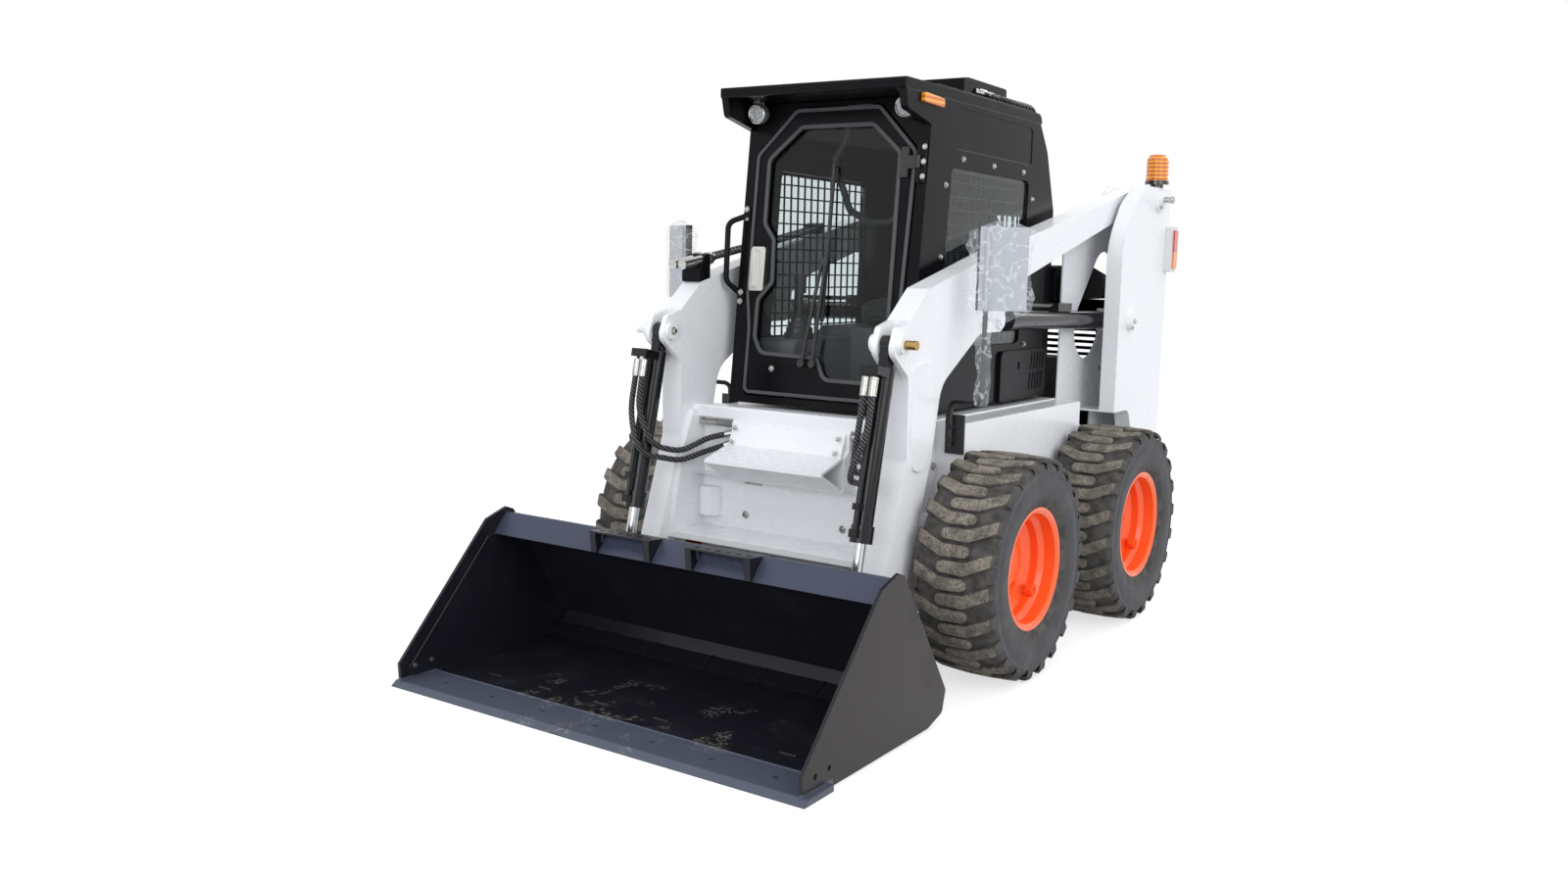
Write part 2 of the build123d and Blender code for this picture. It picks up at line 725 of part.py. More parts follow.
def make_barrel(plane, length, radius, bore, rod, eye_radius, eye_width, pin, base):
    """A cylinder's barrel with its eye, a neck as long as base, its cap and its gland."""
    with BuildPart() as barrel:
        with BuildSketch(plane) as neck:
            Rectangle(eye_width, 1.5 * eye_radius)
        extrude(to_extrude=neck.sketch, amount=base + 2)
        round_bar(plane, base, length - gland_length, radius)
        round_bar(plane, length - gland_length, length, radius + 6)
        round_bar(plane, base + 26, length - gland_length, bore, Mode.SUBTRACT)
        round_bar(plane, length - gland_length, length, rod + running_gap, Mode.SUBTRACT)
        eye(plane, 0, eye_radius, eye_width, pin + running_gap)
    return barrel.part


def make_rod(plane, reach, start, rod, eye_radius, eye_width, bore):
    """A cylinder's rod with the eye at its end."""
    with BuildPart() as piston_rod:
        round_bar(plane, start, reach - eye_radius + 4, rod)
        eye(plane, reach, eye_radius, eye_width, bore)
    return piston_rod.part


lift_plane = cylinder_plane((lift_base_y, lift_base_z), (lift_eye_y, lift_eye_z))
lift_reach = hypot(lift_eye_y - lift_base_y, lift_eye_z - lift_base_z)
lift_barrel_length = lift_reach - lift_rod_shown
tilt_plane = cylinder_plane((tilt_pin_y, tilt_pin_z), (tilt_crank_y, tilt_crank_z))
tilt_reach = hypot(tilt_crank_y - tilt_pin_y, tilt_crank_z - tilt_pin_z)
tilt_barrel_length = tilt_reach - tilt_rod_shown

# On these planes the second direction is up for the lift barrel, forward for the tilt barrel.
with BuildPart() as lift_barrel:
    add(make_barrel(lift_plane, lift_barrel_length, lift_barrel_radius, lift_bore_radius,
                    lift_rod_radius, lift_eye_radius, lift_eye_width, lift_pin_radius, lift_neck))
    pipe_up = lift_barrel_radius + pipe_radius + 8
    square_bar(lift_plane, 400, 540, -24, 24, lift_bore_radius + 4, pipe_up + 14)
    round_bar(lift_plane, 520, lift_barrel_length - 24, pipe_radius, ahead=pipe_up)
    square_bar(lift_plane, lift_barrel_length - 40, lift_barrel_length - 16,
               -14, 14, lift_rod_radius + 6, pipe_up + 12)

block_start = tilt_neck + 6
with BuildPart() as tilt_barrel:
    add(make_barrel(tilt_plane, tilt_barrel_length, tilt_barrel_radius, tilt_bore_radius,
                    tilt_rod_radius, tilt_eye_radius, tilt_eye_width, tilt_pin_radius, tilt_neck))
    pipe_ahead = tilt_barrel_radius + pipe_radius + 9
    # the block that the hoses meet, the pipe down to the gland and its clamp
    square_bar(tilt_plane, block_start, block_start + port_block, -36, 36,
               tilt_bore_radius + 3, port_reach)
    round_bar(tilt_plane, block_start + 10, tilt_barrel_length - 20, pipe_radius, ahead=pipe_ahead)
    square_bar(tilt_plane, tilt_barrel_length - 44, tilt_barrel_length - 16,
               -14, 14, tilt_rod_radius + 6, pipe_ahead + 14)
    square_bar(tilt_plane, tilt_barrel_length - 130, tilt_barrel_length - 108,
               -12, 12, tilt_bore_radius + 3, pipe_ahead + 16)
    for across in (-16, 16):
        round_bar(tilt_plane, block_start + port_block - 4, block_start + port_block + 18, 6,
                  across=across, ahead=port_reach - 20)

lift_rod = make_rod(lift_plane, lift_reach, lift_rod_start, lift_rod_radius,
                    lift_eye_radius, lift_eye_width, lift_pin_radius)
tilt_rod = make_rod(tilt_plane, tilt_reach, tilt_rod_start, tilt_rod_radius,
                    tilt_eye_radius, tilt_eye_width, tilt_pin_radius)
for name, part in (
    ("lift_barrel", lift_barrel.part),
    ("lift_rod", lift_rod),
    ("tilt_barrel", tilt_barrel.part),
    ("tilt_rod", tilt_rod),
):
    save(part, f"{name}_left")
    save(mirrored(part, name), f"{name}_right")

# ================================================================ tilt hoses and fittings
hose_turn_in = (
    # two hoses on each side, x0 beside the cylinder's middle: then the points below the
    # block, each with the radius of its bend
    (-16, ((478, -604, 930, 190), (440, -575, 785, 95), (395, -450, 752, 160),
           (368, -318, 795, 55)), (302, -296, 812)),
    (16, ((512, -606, 915, 300), (455, -635, 760, 80), (405, -440, 715, 190),
          (375, -325, 742, 75)), (305, -296, 770)),
)
hose_top = block_start + port_block + 8
sleeve_length = 64


def along_tilt(distance, across, ahead):
    """A point (x, y, z) along the left tilt cylinder, y from the front axle."""
    spot = (tilt_plane.origin + tilt_plane.z_dir * distance + tilt_plane.x_dir * across
            + tilt_plane.y_dir * ahead)
    return (spot.X, spot.Y - axle_y, spot.Z)


def bar_between(low, high, radius, mode=Mode.ADD):
    """Add or cut a round bar between two points, y from the front axle."""
    start = Vector(low[0], axle_y + low[1], low[2])
    run = Vector(high[0], axle_y + high[1], high[2]) - start
    with BuildSketch(Plane(origin=start, z_dir=run)) as section:
        Circle(radius)
    extrude(to_extrude=section.sketch, amount=run.length, mode=mode)


def arm_top_z(y):
    """The height of the arm's top edge, in front of the pivot."""
    low_y, low_z, high_y, high_z = -261, 1391, 383, 1554
    if y > high_y:
        low_y, low_z, high_y, high_z = high_y, high_z, arm_pivot_y - 50, arm_pivot_z + 51
    return low_z + (y - low_y) * (high_z - low_z) / (high_y - low_y)


coupler_places = (-arm_middle_x - 23, -arm_middle_x + 23)
aux_block_y = 560


def coupler_point(x, back):
    """A point (x, y, z) along a coupler, as far back as given from its mouth."""
    lean = atan2(25, 160)
    return (x, -361 + back * cos(lean), 1452 + back * sin(lean))


with BuildPart() as arm_hoses:
    for across, bends, end in hose_turn_in:
        start = along_tilt(hose_top + sleeve_length, across, port_reach - 20)
        points = [start] + [bend[:3] for bend in bends] + [end]
        tube(points, hose_radius, [bend[3] for bend in bends])
    mirror(arm_hoses.part, about=Plane.YZ)
    for x in coupler_places:
        block_face = (x, aux_block_y, arm_top_z(aux_block_y) + 20)
        tube([coupler_point(x, 200), (x, 20, 1515), (x, 300, 1562), block_face],
             hose_radius, [400, 400])
save(arm_hoses.part, "arm_hoses")

pipe_end_x = step_half + 4
with BuildPart() as arm_fittings:
    for across, bends, end in hose_turn_in:
        # the sleeve round the block's stub and the fitting where the hose meets the beam
        top = along_tilt(hose_top, across, port_reach - 20)
        sleeve_end = along_tilt(hose_top + sleeve_length, across, port_reach - 20)
        bar_between(top, sleeve_end, hose_sleeve_radius)
        bar_between(top, along_tilt(hose_top + 22, across, port_reach - 20), 12, Mode.SUBTRACT)
        run = Vector(*end) - Vector(*bends[-1][:3])
        beam_end = Vector(*end) + run * ((end[0] - pipe_end_x + 30) / -run.X)
        bar_between(end, (beam_end.X, beam_end.Y, beam_end.Z), hose_sleeve_radius - 2)
    block(-pipe_end_x, pipe_end_x, -400, -200, 700, 900, Mode.SUBTRACT)
    for pipe_y, pipe_z, radius in ((-290, 852, 11), (-273, 850, 5)):
        across_rod(pipe_end_x, arm_inner_x - 22, pipe_y, pipe_z, radius)
    mirror(arm_fittings.part, about=Plane.YZ)
    # couplers for a tool's hoses on the right arm's knee: body, collar and tail of each
    for x in coupler_places:
        for low, high, radius in ((0, 150, 19), (150, 172, 25), (172, 200, 14)):
            bar_between(coupler_point(x, low), coupler_point(x, high), radius)
    add(arm_hoses.part, mode=Mode.SUBTRACT)
save(arm_fittings.part, "arm_fittings")

with BuildPart() as coupler_bracket:
    plate(side_plane(-arm_middle_x - 44), (
        (-276, arm_top_z(-261) - 3, 0),
        (-276, 1440, 0),
        (-240, 1496, 16),
        (-212, 1496, 0),
        (-212, arm_top_z(-212), 0),
        (-261, arm_top_z(-261), 0),
    ), 88)
    for x in coupler_places:
        bar_between(coupler_point(x, -40), coupler_point(x, 200), 20, Mode.SUBTRACT)
    # the block where the couplers' hoses go into the arm
    plate(side_plane(-arm_middle_x - 40), (
        (aux_block_y, arm_top_z(aux_block_y), 0),
        (aux_block_y, arm_top_z(aux_block_y) + 42, 6),
        (aux_block_y + 44, arm_top_z(aux_block_y + 44) + 42, 6),
        (aux_block_y + 44, arm_top_z(aux_block_y + 44), 0),
    ), 80)
    add(arm_hoses.part, mode=Mode.SUBTRACT)
    add(arm_fittings.part, mode=Mode.SUBTRACT)
save(coupler_bracket.part, "coupler_bracket")

# ================================================================ attach frame
back_up = Vector(0, -sin(radians(back_lean)), cos(radians(back_lean)))
back_out = Vector(0, cos(radians(back_lean)), sin(radians(back_lean)))


def back_point(up, out):
    """A point (y, z) from the heel corner, up along the bucket's back and out behind it."""
    spot = back_up * up + back_out * out
    return (heel_y + spot.Y, heel_z + spot.Z)


def back_corners(rows):
    """Outline corners from rows of (up, out, corner radius) along the bucket's back."""
    return [(*back_point(up, out), radius) for up, out, radius in rows]


face_in = shell_thickness + 2
face_out = face_in + attach_plate
attach_face = back_corners((
    (10, face_in, 0),
    (attach_height, face_in, 0),
    (attach_height, face_out, 0),
    (10, face_out, 0),
))
ear_rows = back_corners((
    (0, face_in, 0),
    (attach_height - 20, face_in, 0),
    (attach_height - 20, face_out + 30, 30),
    (250, face_out + 150, 60),
    (60, face_out + 205, 60),
    (-20, face_out + 190, 60),
    (-20, face_out + 60, 20),
))
ear_places = (
    # inner face of each ear on the left: beside the arm's inner side, beside its outer side
    arm_inner_x - clearance - attach_ear,
    arm_outer_x + clearance + doubler_thickness,
)
stub_gap = clearance
with BuildPart() as quick_attach:
    for hand in (1, -1):
        plate(side_plane(hand * 300), attach_face, hand * (attach_half_width - 300))
        for place in ear_places:
            plate(side_plane(hand * place), ear_rows, hand * attach_ear)
        across_rod(hand * (ear_places[0] - 10), hand * (ear_places[1] + attach_ear + 8),
                   hinge_y, hinge_z, hinge_pin_radius)
        across_rod(hand * ear_places[0], hand * (arm_middle_x - tilt_eye_width / 2 - stub_gap),
                   tilt_crank_y, tilt_crank_z, tilt_pin_radius)
        across_rod(hand * (ear_places[1] + attach_ear),
                   hand * (arm_middle_x + tilt_eye_width / 2 + stub_gap),
                   tilt_crank_y, tilt_crank_z, tilt_pin_radius)
        # the lock lever that drops the wedge into the bucket, folded down beside the ear
        plate(side_plane(hand * 352), back_corners((
            (36, face_out, 0),
            (36, face_out + 26, 10),
            (250, face_out + 40, 10),
            (330, face_out + 70, 4),
            (330, face_out + 52, 4),
            (262, face_out + 24, 0),
            (262, face_out, 0),
        )), hand * 26)
    for low, high, out in ((attach_height - 60, attach_height, 30), (0, 50, 30)):
        plate(side_plane(-attach_half_width), back_corners((
            (low, face_in, 0),
            (high, face_in, 0),
            (high, face_out + out, 8),
            (low, face_out + out, 8),
        )), 2 * attach_half_width)
save(quick_attach.part, "quick_attach")

# ================================================================ bucket
side_rows = (
    (-1430, 4, 0),
    (-1436, 80, 0),
    (-1031, 526, 0),
    (-935, 558, 0),
    (-900, 545, 10),
    (-604, 114, 14),
    (-624, 42, 18),
    (-718, 14, 20),
)
bar_face = ((-996, 466), (-937, 539))     # the folded bar along the bucket's top
shell_rows = (
    # floor, heel strip, back and the folded top bar, then back along the outside
    (-1330, 18, 0),
    (-720, 30, 0),
    (-643, 61, 0),
    (heel_y, heel_z, 0),
    (*back_point(370, 0), 0),
    (*bar_face[0], 0),
    (*bar_face[1], 0),
    (*back_point(520, shell_thickness), 0),
    (*back_point(0, shell_thickness), 0),
    (-636, 52, 0),
    (-722, 20, 0),
    (-1330, 8, 0),
)
side_liner = 6
liner_rows = (
    # a second layer inside each side plate, set back from its front edge
    (-1330, 13, 0),
    (-1330, 24, 0),
    (-1380, 26, 0),
    (-1396, 62, 0),
    (-1030, 465, 0),
    (-980, 470, 0),
    (-832, 417, 0),
    (*back_point(360, 4), 0),
    (*back_point(8, 4), 0),
    (-645, 56, 0),
    (-721, 25, 0),
)
bucket_step_middle = 208
bucket_step_half = 131
with BuildPart() as bucket_shell:
    plate(side_plane(-bucket_half_width + side_plate), shell_rows, 2 * (bucket_half_width - side_plate))
    for hand in (1, -1):
        plate(side_plane(hand * (bucket_half_width - side_plate)), side_rows, hand * side_plate)
        plate(side_plane(hand * (bucket_half_width - side_plate)), liner_rows, -hand * side_liner)
        # two holes for side cutters low at the front of each side plate
        for hole_y, hole_z in ((-1372, 62), (-1300, 66)):
            across_rod(hand * (bucket_half_width - side_plate - side_liner),
                       hand * bucket_half_width, hole_y, hole_z, 9, Mode.SUBTRACT)
        # a step bolted on the top bar: a plate with six holes on two legs
        step_low = hand * bucket_step_middle - bucket_step_half
        step_corners = (
            (*bar_face[1], 0),
            (bar_face[1][0] - 76, bar_face[1][1] + 6, 0),
            (bar_face[1][0] - 76, bar_face[1][1], 0),
            (bar_face[1][0] - 6, bar_face[1][1] - 7, 0),
        )
        plate(side_plane(step_low), step_corners, 2 * bucket_step_half)
        leg_corners = (
            (bar_face[1][0] - 6, bar_face[1][1] - 7, 0),
            (bar_face[1][0] - 76, bar_face[1][1], 0),
            (bar_face[1][0] - 76, bar_face[1][1] - 10, 0),
            (bar_face[0][0] - 10, bar_face[0][1] + 2, 0),
            (*bar_face[0], 0),
        )
        for leg_low in (step_low, step_low + 2 * bucket_step_half - 24):
            plate(side_plane(leg_low), leg_corners, 24)
        for hole in range(6):
            upright(step_low + 26 + hole * 42, bar_face[1][0] - 42, 500, 560, 11, Mode.SUBTRACT)
save(bucket_shell.part, "bucket_shell")

edge_hole_radius = 10
edge_hole_from_tip = 100
edge_hole_spacing = 230
edge_rows = (
    (-tip_reach, 0, 0),
    (-tip_reach + 24, 18, 0),
    (-tip_reach + edge_depth, 22, 0),
    (-tip_reach + edge_depth, 2, 0),
)
with BuildPart() as cutting_edge:
    plate(side_plane(-edge_half_width), edge_rows, 2 * edge_half_width)
    plate(side_plane(-bucket_half_width), side_rows, side_plate, Mode.SUBTRACT)
    plate(side_plane(bucket_half_width), side_rows, -side_plate, Mode.SUBTRACT)
    plate(side_plane(-bucket_half_width), shell_rows, 2 * bucket_half_width, Mode.SUBTRACT)
    for hand in (1, -1):
        plate(side_plane(hand * bucket_half_width), liner_rows,
              -hand * (side_plate + side_liner + 1), Mode.SUBTRACT)
    for step in range(-3, 4):
        upright(step * edge_hole_spacing, -tip_reach + edge_hole_from_tip, 0, 40,
                edge_hole_radius, Mode.SUBTRACT)
save(cutting_edge.part, "cutting_edge")

# ================================================================ cab
lean = radians(cab_lean)
door_plane = Plane(origin=(0, axle_y + cab_front_y, cab_sill_z), x_dir=(1, 0, 0),
                   z_dir=(0, -cos(lean), sin(lean)))
inner_half = cab_half_width - cab_wall


def front_face_y(z):
    """Where the cab's leaning front face is at a height."""
    return cab_front_y + (z - cab_sill_z) * sin(lean) / cos(lean)


def roof_z(y, below=0):
    """The height of the roof's top, or of a place below it."""
    return roof_top_z - below - (y - roof_front_y) * roof_fall / (roof_rear_y - roof_front_y)


cab_side_profile = (
    (cab_front_y, cab_sill_z, 0),
    (front_face_y(cheek_root_z), cheek_root_z, 0),
    (roof_front_y + 24, cheek_low_z, 22),
    (roof_front_y + 7, roof_z(roof_front_y + 7, roof_thickness), 0),
    (roof_rear_y, roof_z(roof_rear_y, roof_thickness), 0),
    (roof_rear_y + 82, 1950, 80),
    (cab_rear_y - 6, 1712, 60),
    (cab_rear_y, 1500, 0),
    (cab_rear_y, cab_sill_z, 0),
)
side_window = (
    # front low, rear low, rear high, front high
    (76, pane_low_z, 30),
    (cab_rear_y - 304, pane_low_z, 30),
    (cab_rear_y - 266, pane_high_z - 12, 30),
    (138, pane_high_z, 30),
)
with BuildPart() as cab_sides:
    plate(side_plane(inner_half), cab_side_profile, cab_wall)
    plate(side_plane(inner_half), side_window, cab_wall, Mode.SUBTRACT)
    # the shallow pressed field above the window
    plate(side_plane(cab_half_width - 3), (
        (166, 1900, 20),
        (cab_rear_y - 250, 1886, 20),
        (cab_rear_y - 250, 2034, 20),
        (166, 2052, 20),
    ), 3, Mode.SUBTRACT)
    mirror(cab_sides.part, about=Plane.YZ)
save(cab_sides.part, "cab_sides")

rear_window = ((-270, 1330, 30), (270, 1330, 30), (270, 1690, 30), (-270, 1690, 30))
with BuildPart() as cab_rear:
    rear_profile = (
        (cab_rear_y - cab_wall, cab_sill_z, 0),
        (cab_rear_y, cab_sill_z, 0),
        (cab_rear_y, 1500, 0),
        (cab_rear_y - 6, 1712, 60),
        (roof_rear_y + 82, 1950, 80),
        (roof_rear_y, roof_z(roof_rear_y, roof_thickness), 0),
        (roof_rear_y - 33, roof_z(roof_rear_y - 33, roof_thickness), 0),
        (roof_rear_y + 50, 1944, 80),
        (cab_rear_y - 38, 1706, 60),
        (cab_rear_y - cab_wall, 1500, 0),
    )
    plate(side_plane(-inner_half), rear_profile, 2 * inner_half)
    plate(front_plane(cab_rear_y + 60), rear_window, 200, Mode.SUBTRACT)
save(cab_rear.part, "cab_rear")

with BuildPart() as cab_roof:
    plate(side_plane(-cab_half_width), (
        (roof_front_y, roof_z(roof_front_y), 8),
        (roof_rear_y, roof_z(roof_rear_y), 34),
        (roof_rear_y + 15, roof_z(roof_rear_y + 15, roof_thickness), 0),
        (roof_front_y, roof_z(roof_front_y, roof_thickness), 8),
    ), 2 * cab_half_width)
    # a row of slots through the visor
    for slot in range(7):
        block(-164 + slot * 60, -164 + slot * 60 + 40, roof_front_y + 72, roof_front_y + 86,
              roof_top_z - 80, roof_top_z + 20, Mode.SUBTRACT)
    # raised ribs along the roof, behind the visor
    for rib in (-348, 348):
        plate(side_plane(rib - 40), (
            (0, roof_z(0), 0),
            (40, roof_z(40) + 8, 0),
            (roof_rear_y - 80, roof_z(roof_rear_y - 80) + 8, 0),
            (roof_rear_y - 40, roof_z(roof_rear_y - 40), 0),
        ), 80)
save(cab_roof.part, "cab_roof")

console_inner_x = 130
console_top_z = 1167
console_rear_z = 1205       # beside the seat
with BuildPart() as cab_floor:
    block(-inner_half, inner_half, cab_front_y + 50, cab_rear_y - cab_wall, cab_sill_z, cab_sill_z + 20)
    # the seat's pan, and a console on each side that carries a control lever
    block(-console_inner_x - 60, console_inner_x + 60, 420, cab_rear_y - cab_wall,
          cab_sill_z + 20, console_rear_z)
    for hand in (1, -1):
        plate(side_plane(hand * (console_inner_x + 60)), (
            (0, cab_sill_z + 20, 0),
            (0, console_top_z, 30),
            (420, console_top_z, 0),
            (470, console_rear_z, 0),
            (cab_rear_y - cab_wall, console_rear_z, 0),
            (cab_rear_y - cab_wall, cab_sill_z + 20, 0),
        ), hand * (inner_half - console_inner_x - 60 - 2))
save(cab_floor.part, "cab_floor")

# ---------------------------------------------------------------- cab front and door
# The door's top edge swings under the visor's front edge on the leaning hinge.
door_top = ((roof_front_y - cab_front_y) * sin(lean)
            + (roof_z(roof_front_y, roof_thickness) - cab_sill_z) * cos(lean) - clearance)
door_rows = (
    # x across, height up the leaning face, corner radius
    (-337, 36, 30),
    (337, 36, 30),
    (door_half_width, door_top - 172, 40),
    (186, door_top, 40),
    (-186, door_top, 40),
    (-door_half_width, door_top - 172, 40),
    (-door_half_width, 424, 60),
    (-337, 290, 60),
)
glass_rows = (
    (-150, 1056, 30),
    (160, 1056, 30),
    (276, 955, 30),
    (287, 120, 30),
    (40, 120, 30),
    (0, 200, 30),
    (-260, 206, 30),
    (-290, 260, 30),
    (-290, 400, 30),
    (-228, 470, 30),
    (-236, 640, 30),
    (-284, 700, 30),
    (-286, 940, 30),
)
with BuildPart() as cab_front:
    frame_rows = (
        (-inner_half, 0, 0),
        (inner_half, 0, 0),
        (inner_half, door_top + 22, 0),
        (-inner_half, door_top + 22, 0),
    )
    plate(door_plane, frame_rows, -cab_wall)
    door_hole = offset(outline(door_plane, door_rows), amount=door_gap, mode=Mode.PRIVATE)
    extrude(to_extrude=door_hole, amount=-cab_wall, mode=Mode.SUBTRACT)
save(cab_front.part, "cab_front")

glass_hole = outline(door_plane, glass_rows)
glass_depth = 10            # how far the pane lies behind the door's face
with BuildPart() as door_frame:
    plate(door_plane, door_rows, -cab_wall)
    extrude(to_extrude=glass_hole, amount=-cab_wall, mode=Mode.SUBTRACT)
    extrude(to_extrude=offset(glass_hole, amount=glass_seat, mode=Mode.PRIVATE).moved(
        Location(door_plane.z_dir * -glass_depth)), amount=-cab_wall, mode=Mode.SUBTRACT)
save(door_frame.part, "door_frame")

with BuildPart() as door_glass:
    extrude(to_extrude=offset(glass_hole, amount=glass_seat - running_gap, mode=Mode.PRIVATE).moved(
        Location(door_plane.z_dir * -glass_depth)), amount=-glass_thickness)
save(door_glass.part, "door_glass")

seal_proud = 6
with BuildPart() as door_seals:
    # one rubber round the door's edge and one round the pane, both proud of the face
    for shape, outer, inner in (
        (outline(door_plane, door_rows), -2, -15),
        (glass_hole, 16, 1),
    ):
        extrude(to_extrude=offset(shape, amount=outer, mode=Mode.PRIVATE), amount=seal_proud)
        extrude(to_extrude=offset(shape, amount=inner, mode=Mode.PRIVATE), amount=seal_proud,
                mode=Mode.SUBTRACT)
save(door_seals.part, "door_seals")

def face_box(x_low, x_high, low, high, back, proud, corner=0, mode=Mode.ADD):
    """Add a box on the cab's leaning front: limits across and up it, behind and before it."""
    rows = ((x_low, low, corner), (x_high, low, corner), (x_high, high, corner), (x_low, high, corner))
    shape = outline(door_plane, rows).moved(Location(door_plane.z_dir * back))
    extrude(to_extrude=shape, amount=proud - back, mode=mode)


def face_rod(x, low, high, proud, radius, mode=Mode.ADD):
    """Add a round bar that runs up the leaning front, so far proud of it."""
    start = door_plane.origin + door_plane.x_dir * x + door_plane.y_dir * low + door_plane.z_dir * proud
    with BuildSketch(Plane(origin=start, x_dir=(1, 0, 0), z_dir=door_plane.y_dir)) as section:
        Circle(radius)
    extrude(to_extrude=section.sketch, amount=high - low, mode=mode)


hinge_places = (170, 845)       # lower end of each hinge, up the leaning face
hinge_length = 150
hinge_barrel = 9
with BuildPart() as door_fittings:
    # hinge leaves on the door with the middle knuckle of each hinge
    for low in hinge_places:
        face_rod(door_hinge_x, low + 52, low + 98, door_hinge_proud, hinge_barrel)
        face_box(door_half_width - 62, door_hinge_x, low + 52, low + 98, seal_proud,
                 door_hinge_proud)
        face_box(door_half_width - 62, door_half_width - 30, low + 20, low + 130, 0,
                 door_hinge_proud, 0)
    # the latch: a cast housing with its handle, on the widened part of the frame
    face_box(-332, -266, 436, 606, 0, 24, 10)
    face_box(-322, -300, 450, 592, 24, 40, 6)
    # two wiper arms side by side from the foot of the pane to the blade
    for low_x, high_x in ((-62, -4), (-14, 12)):
        face_rod(low_x, 160, 176, 14, 1)
        foot = door_plane.origin + door_plane.x_dir * low_x + door_plane.y_dir * 168
        with BuildSketch(Plane(origin=foot, x_dir=(1, 0, 0), z_dir=door_plane.z_dir)) as pivot:
            Circle(15)
        extrude(to_extrude=pivot.sketch, amount=26)
        shape = outline(door_plane, ((low_x - 7, 160, 0), (low_x + 7, 160, 0),
                                     (high_x + 5, 560, 0), (high_x - 5, 560, 0)))
        extrude(to_extrude=shape.moved(Location(door_plane.z_dir * 16)), amount=8)
    face_box(-12, 20, 540, 566, 12, 24, 4)
    face_box(2, 14, 330, 915, 2, 12)
    add(door_seals.part, mode=Mode.SUBTRACT)
save(door_fittings.part, "door_fittings")

grab_points = ((-374, -60, 1652), (-424, -136, 1618), (-424, -146, 1392), (-386, -84, 1334))
with BuildPart() as cab_fittings:
    # the fixed halves of the hinges
    for low in hinge_places:
        for start, end in ((low, low + 51), (low + 99, low + hinge_length)):
            face_rod(door_hinge_x, start, end, door_hinge_proud, hinge_barrel)
        face_box(door_hinge_x, cab_half_width - 4, low, low + 51, 0, door_hinge_proud)
        face_box(door_hinge_x, cab_half_width - 4, low + 99, low + hinge_length, 0, door_hinge_proud)
        face_box(door_hinge_x + 14, cab_half_width - 4, low, low + hinge_length, 0, door_hinge_proud)
    # the grab handle on the right corner, with the plate that carries each end
    tube(grab_points, 11, [38, 38])
    for spot in (grab_points[0], grab_points[-1]):
        face_up = (spot[2] - cab_sill_z) / cos(lean)
        face_box(-396, -366, face_up - 26, face_up + 26, 0, 5)
    plate(door_plane, ((-cab_half_width, 0, 0), (cab_half_width, 0, 0), (cab_half_width, 1200, 0),
                       (-cab_half_width, 1200, 0)), -60, Mode.SUBTRACT)
save(cab_fittings.part, "cab_fittings")

# ---------------------------------------------------------------- windows
pane_thickness = 5
grille_thickness = 6
grille_x = inner_half + 2   # inner face of a side grille, in the window's hole


def grille_bars(low, high, pitch):
    """Middles of evenly spaced bars between two limits, about a pitch apart."""
    count = max(1, round((high - low) / pitch) - 1)
    return [low + (high - low) * (step + 1) / (count + 1) for step in range(count)]


with BuildPart() as window_grilles:
    grille_frame = offset(outline(side_plane(grille_x), side_window), amount=-1, mode=Mode.PRIVATE)
    for y in grille_bars(76, cab_rear_y - 266, grille_pitch):
        block(grille_x, grille_x + grille_thickness, y - grille_bar / 2, y + grille_bar / 2,
              pane_low_z - 10, pane_high_z + 10)
    for z in grille_bars(pane_low_z, pane_high_z, grille_pitch):
        block(grille_x, grille_x + grille_thickness, 60, cab_rear_y - 250,
              z - grille_bar / 2, z + grille_bar / 2)
    extrude(to_extrude=grille_frame, amount=grille_thickness, mode=Mode.INTERSECT)
    with BuildPart(mode=Mode.PRIVATE) as rim_strip:
        extrude(to_extrude=grille_frame, amount=grille_thickness)
        extrude(to_extrude=offset(grille_frame, amount=-14, mode=Mode.PRIVATE),
                amount=grille_thickness, mode=Mode.SUBTRACT)
    add(rim_strip.part)
    mirror(window_grilles.part, about=Plane.YZ)
    # the rear window's grille stands in its hole
    with BuildPart(mode=Mode.PRIVATE) as rear_grille:
        for x in grille_bars(-270, 270, grille_pitch):
            block(x - grille_bar / 2, x + grille_bar / 2, cab_rear_y - cab_wall + 4,
                  cab_rear_y - cab_wall + 4 + grille_thickness, 1331, 1689)
        for z in grille_bars(1330, 1690, grille_pitch):
            block(-269, 269, cab_rear_y - cab_wall + 4, cab_rear_y - cab_wall + 4 + grille_thickness,
                  z - grille_bar / 2, z + grille_bar / 2)
    add(rear_grille.part)
save(window_grilles.part, "window_grilles")

with BuildPart() as cab_glass:
    side_pane = offset(outline(side_plane(cab_half_width - 14), side_window), amount=-1,
                       mode=Mode.PRIVATE)
    extrude(to_extrude=side_pane, amount=pane_thickness)
    mirror(cab_glass.part, about=Plane.YZ)
    rear_pane = offset(outline(front_plane(cab_rear_y - 8), rear_window), amount=-1,
                       mode=Mode.PRIVATE)
    extrude(to_extrude=rear_pane, amount=pane_thickness)
save(cab_glass.part, "cab_glass")

# ---------------------------------------------------------------- inside the cab
with BuildPart() as seat:
    plate(side_plane(-225), (
        # cushion, backrest and headrest in one moulding, seen from the side
        (500, 1230, 40),
        (500, 1320, 40),
        (800, 1330, 30),
        (890, 1700, 30),
        (900, 1850, 30),
        (960, 1850, 30),
        (980, 1700, 40),
        (900, 1212, 40),
        (540, 1212, 0),
    ), 450)
    for hand in (1, -1):
        # the backrest narrows to the headrest
        plate(front_plane(1000), (
            (hand * 240, 1600, 0),
            (hand * 225, 1600, 0),
            (hand * 120, 1730, 30),
            (hand * 110, 1900, 0),
            (hand * 240, 1900, 0),
        ), 300, Mode.SUBTRACT)
save(seat.part, "seat")

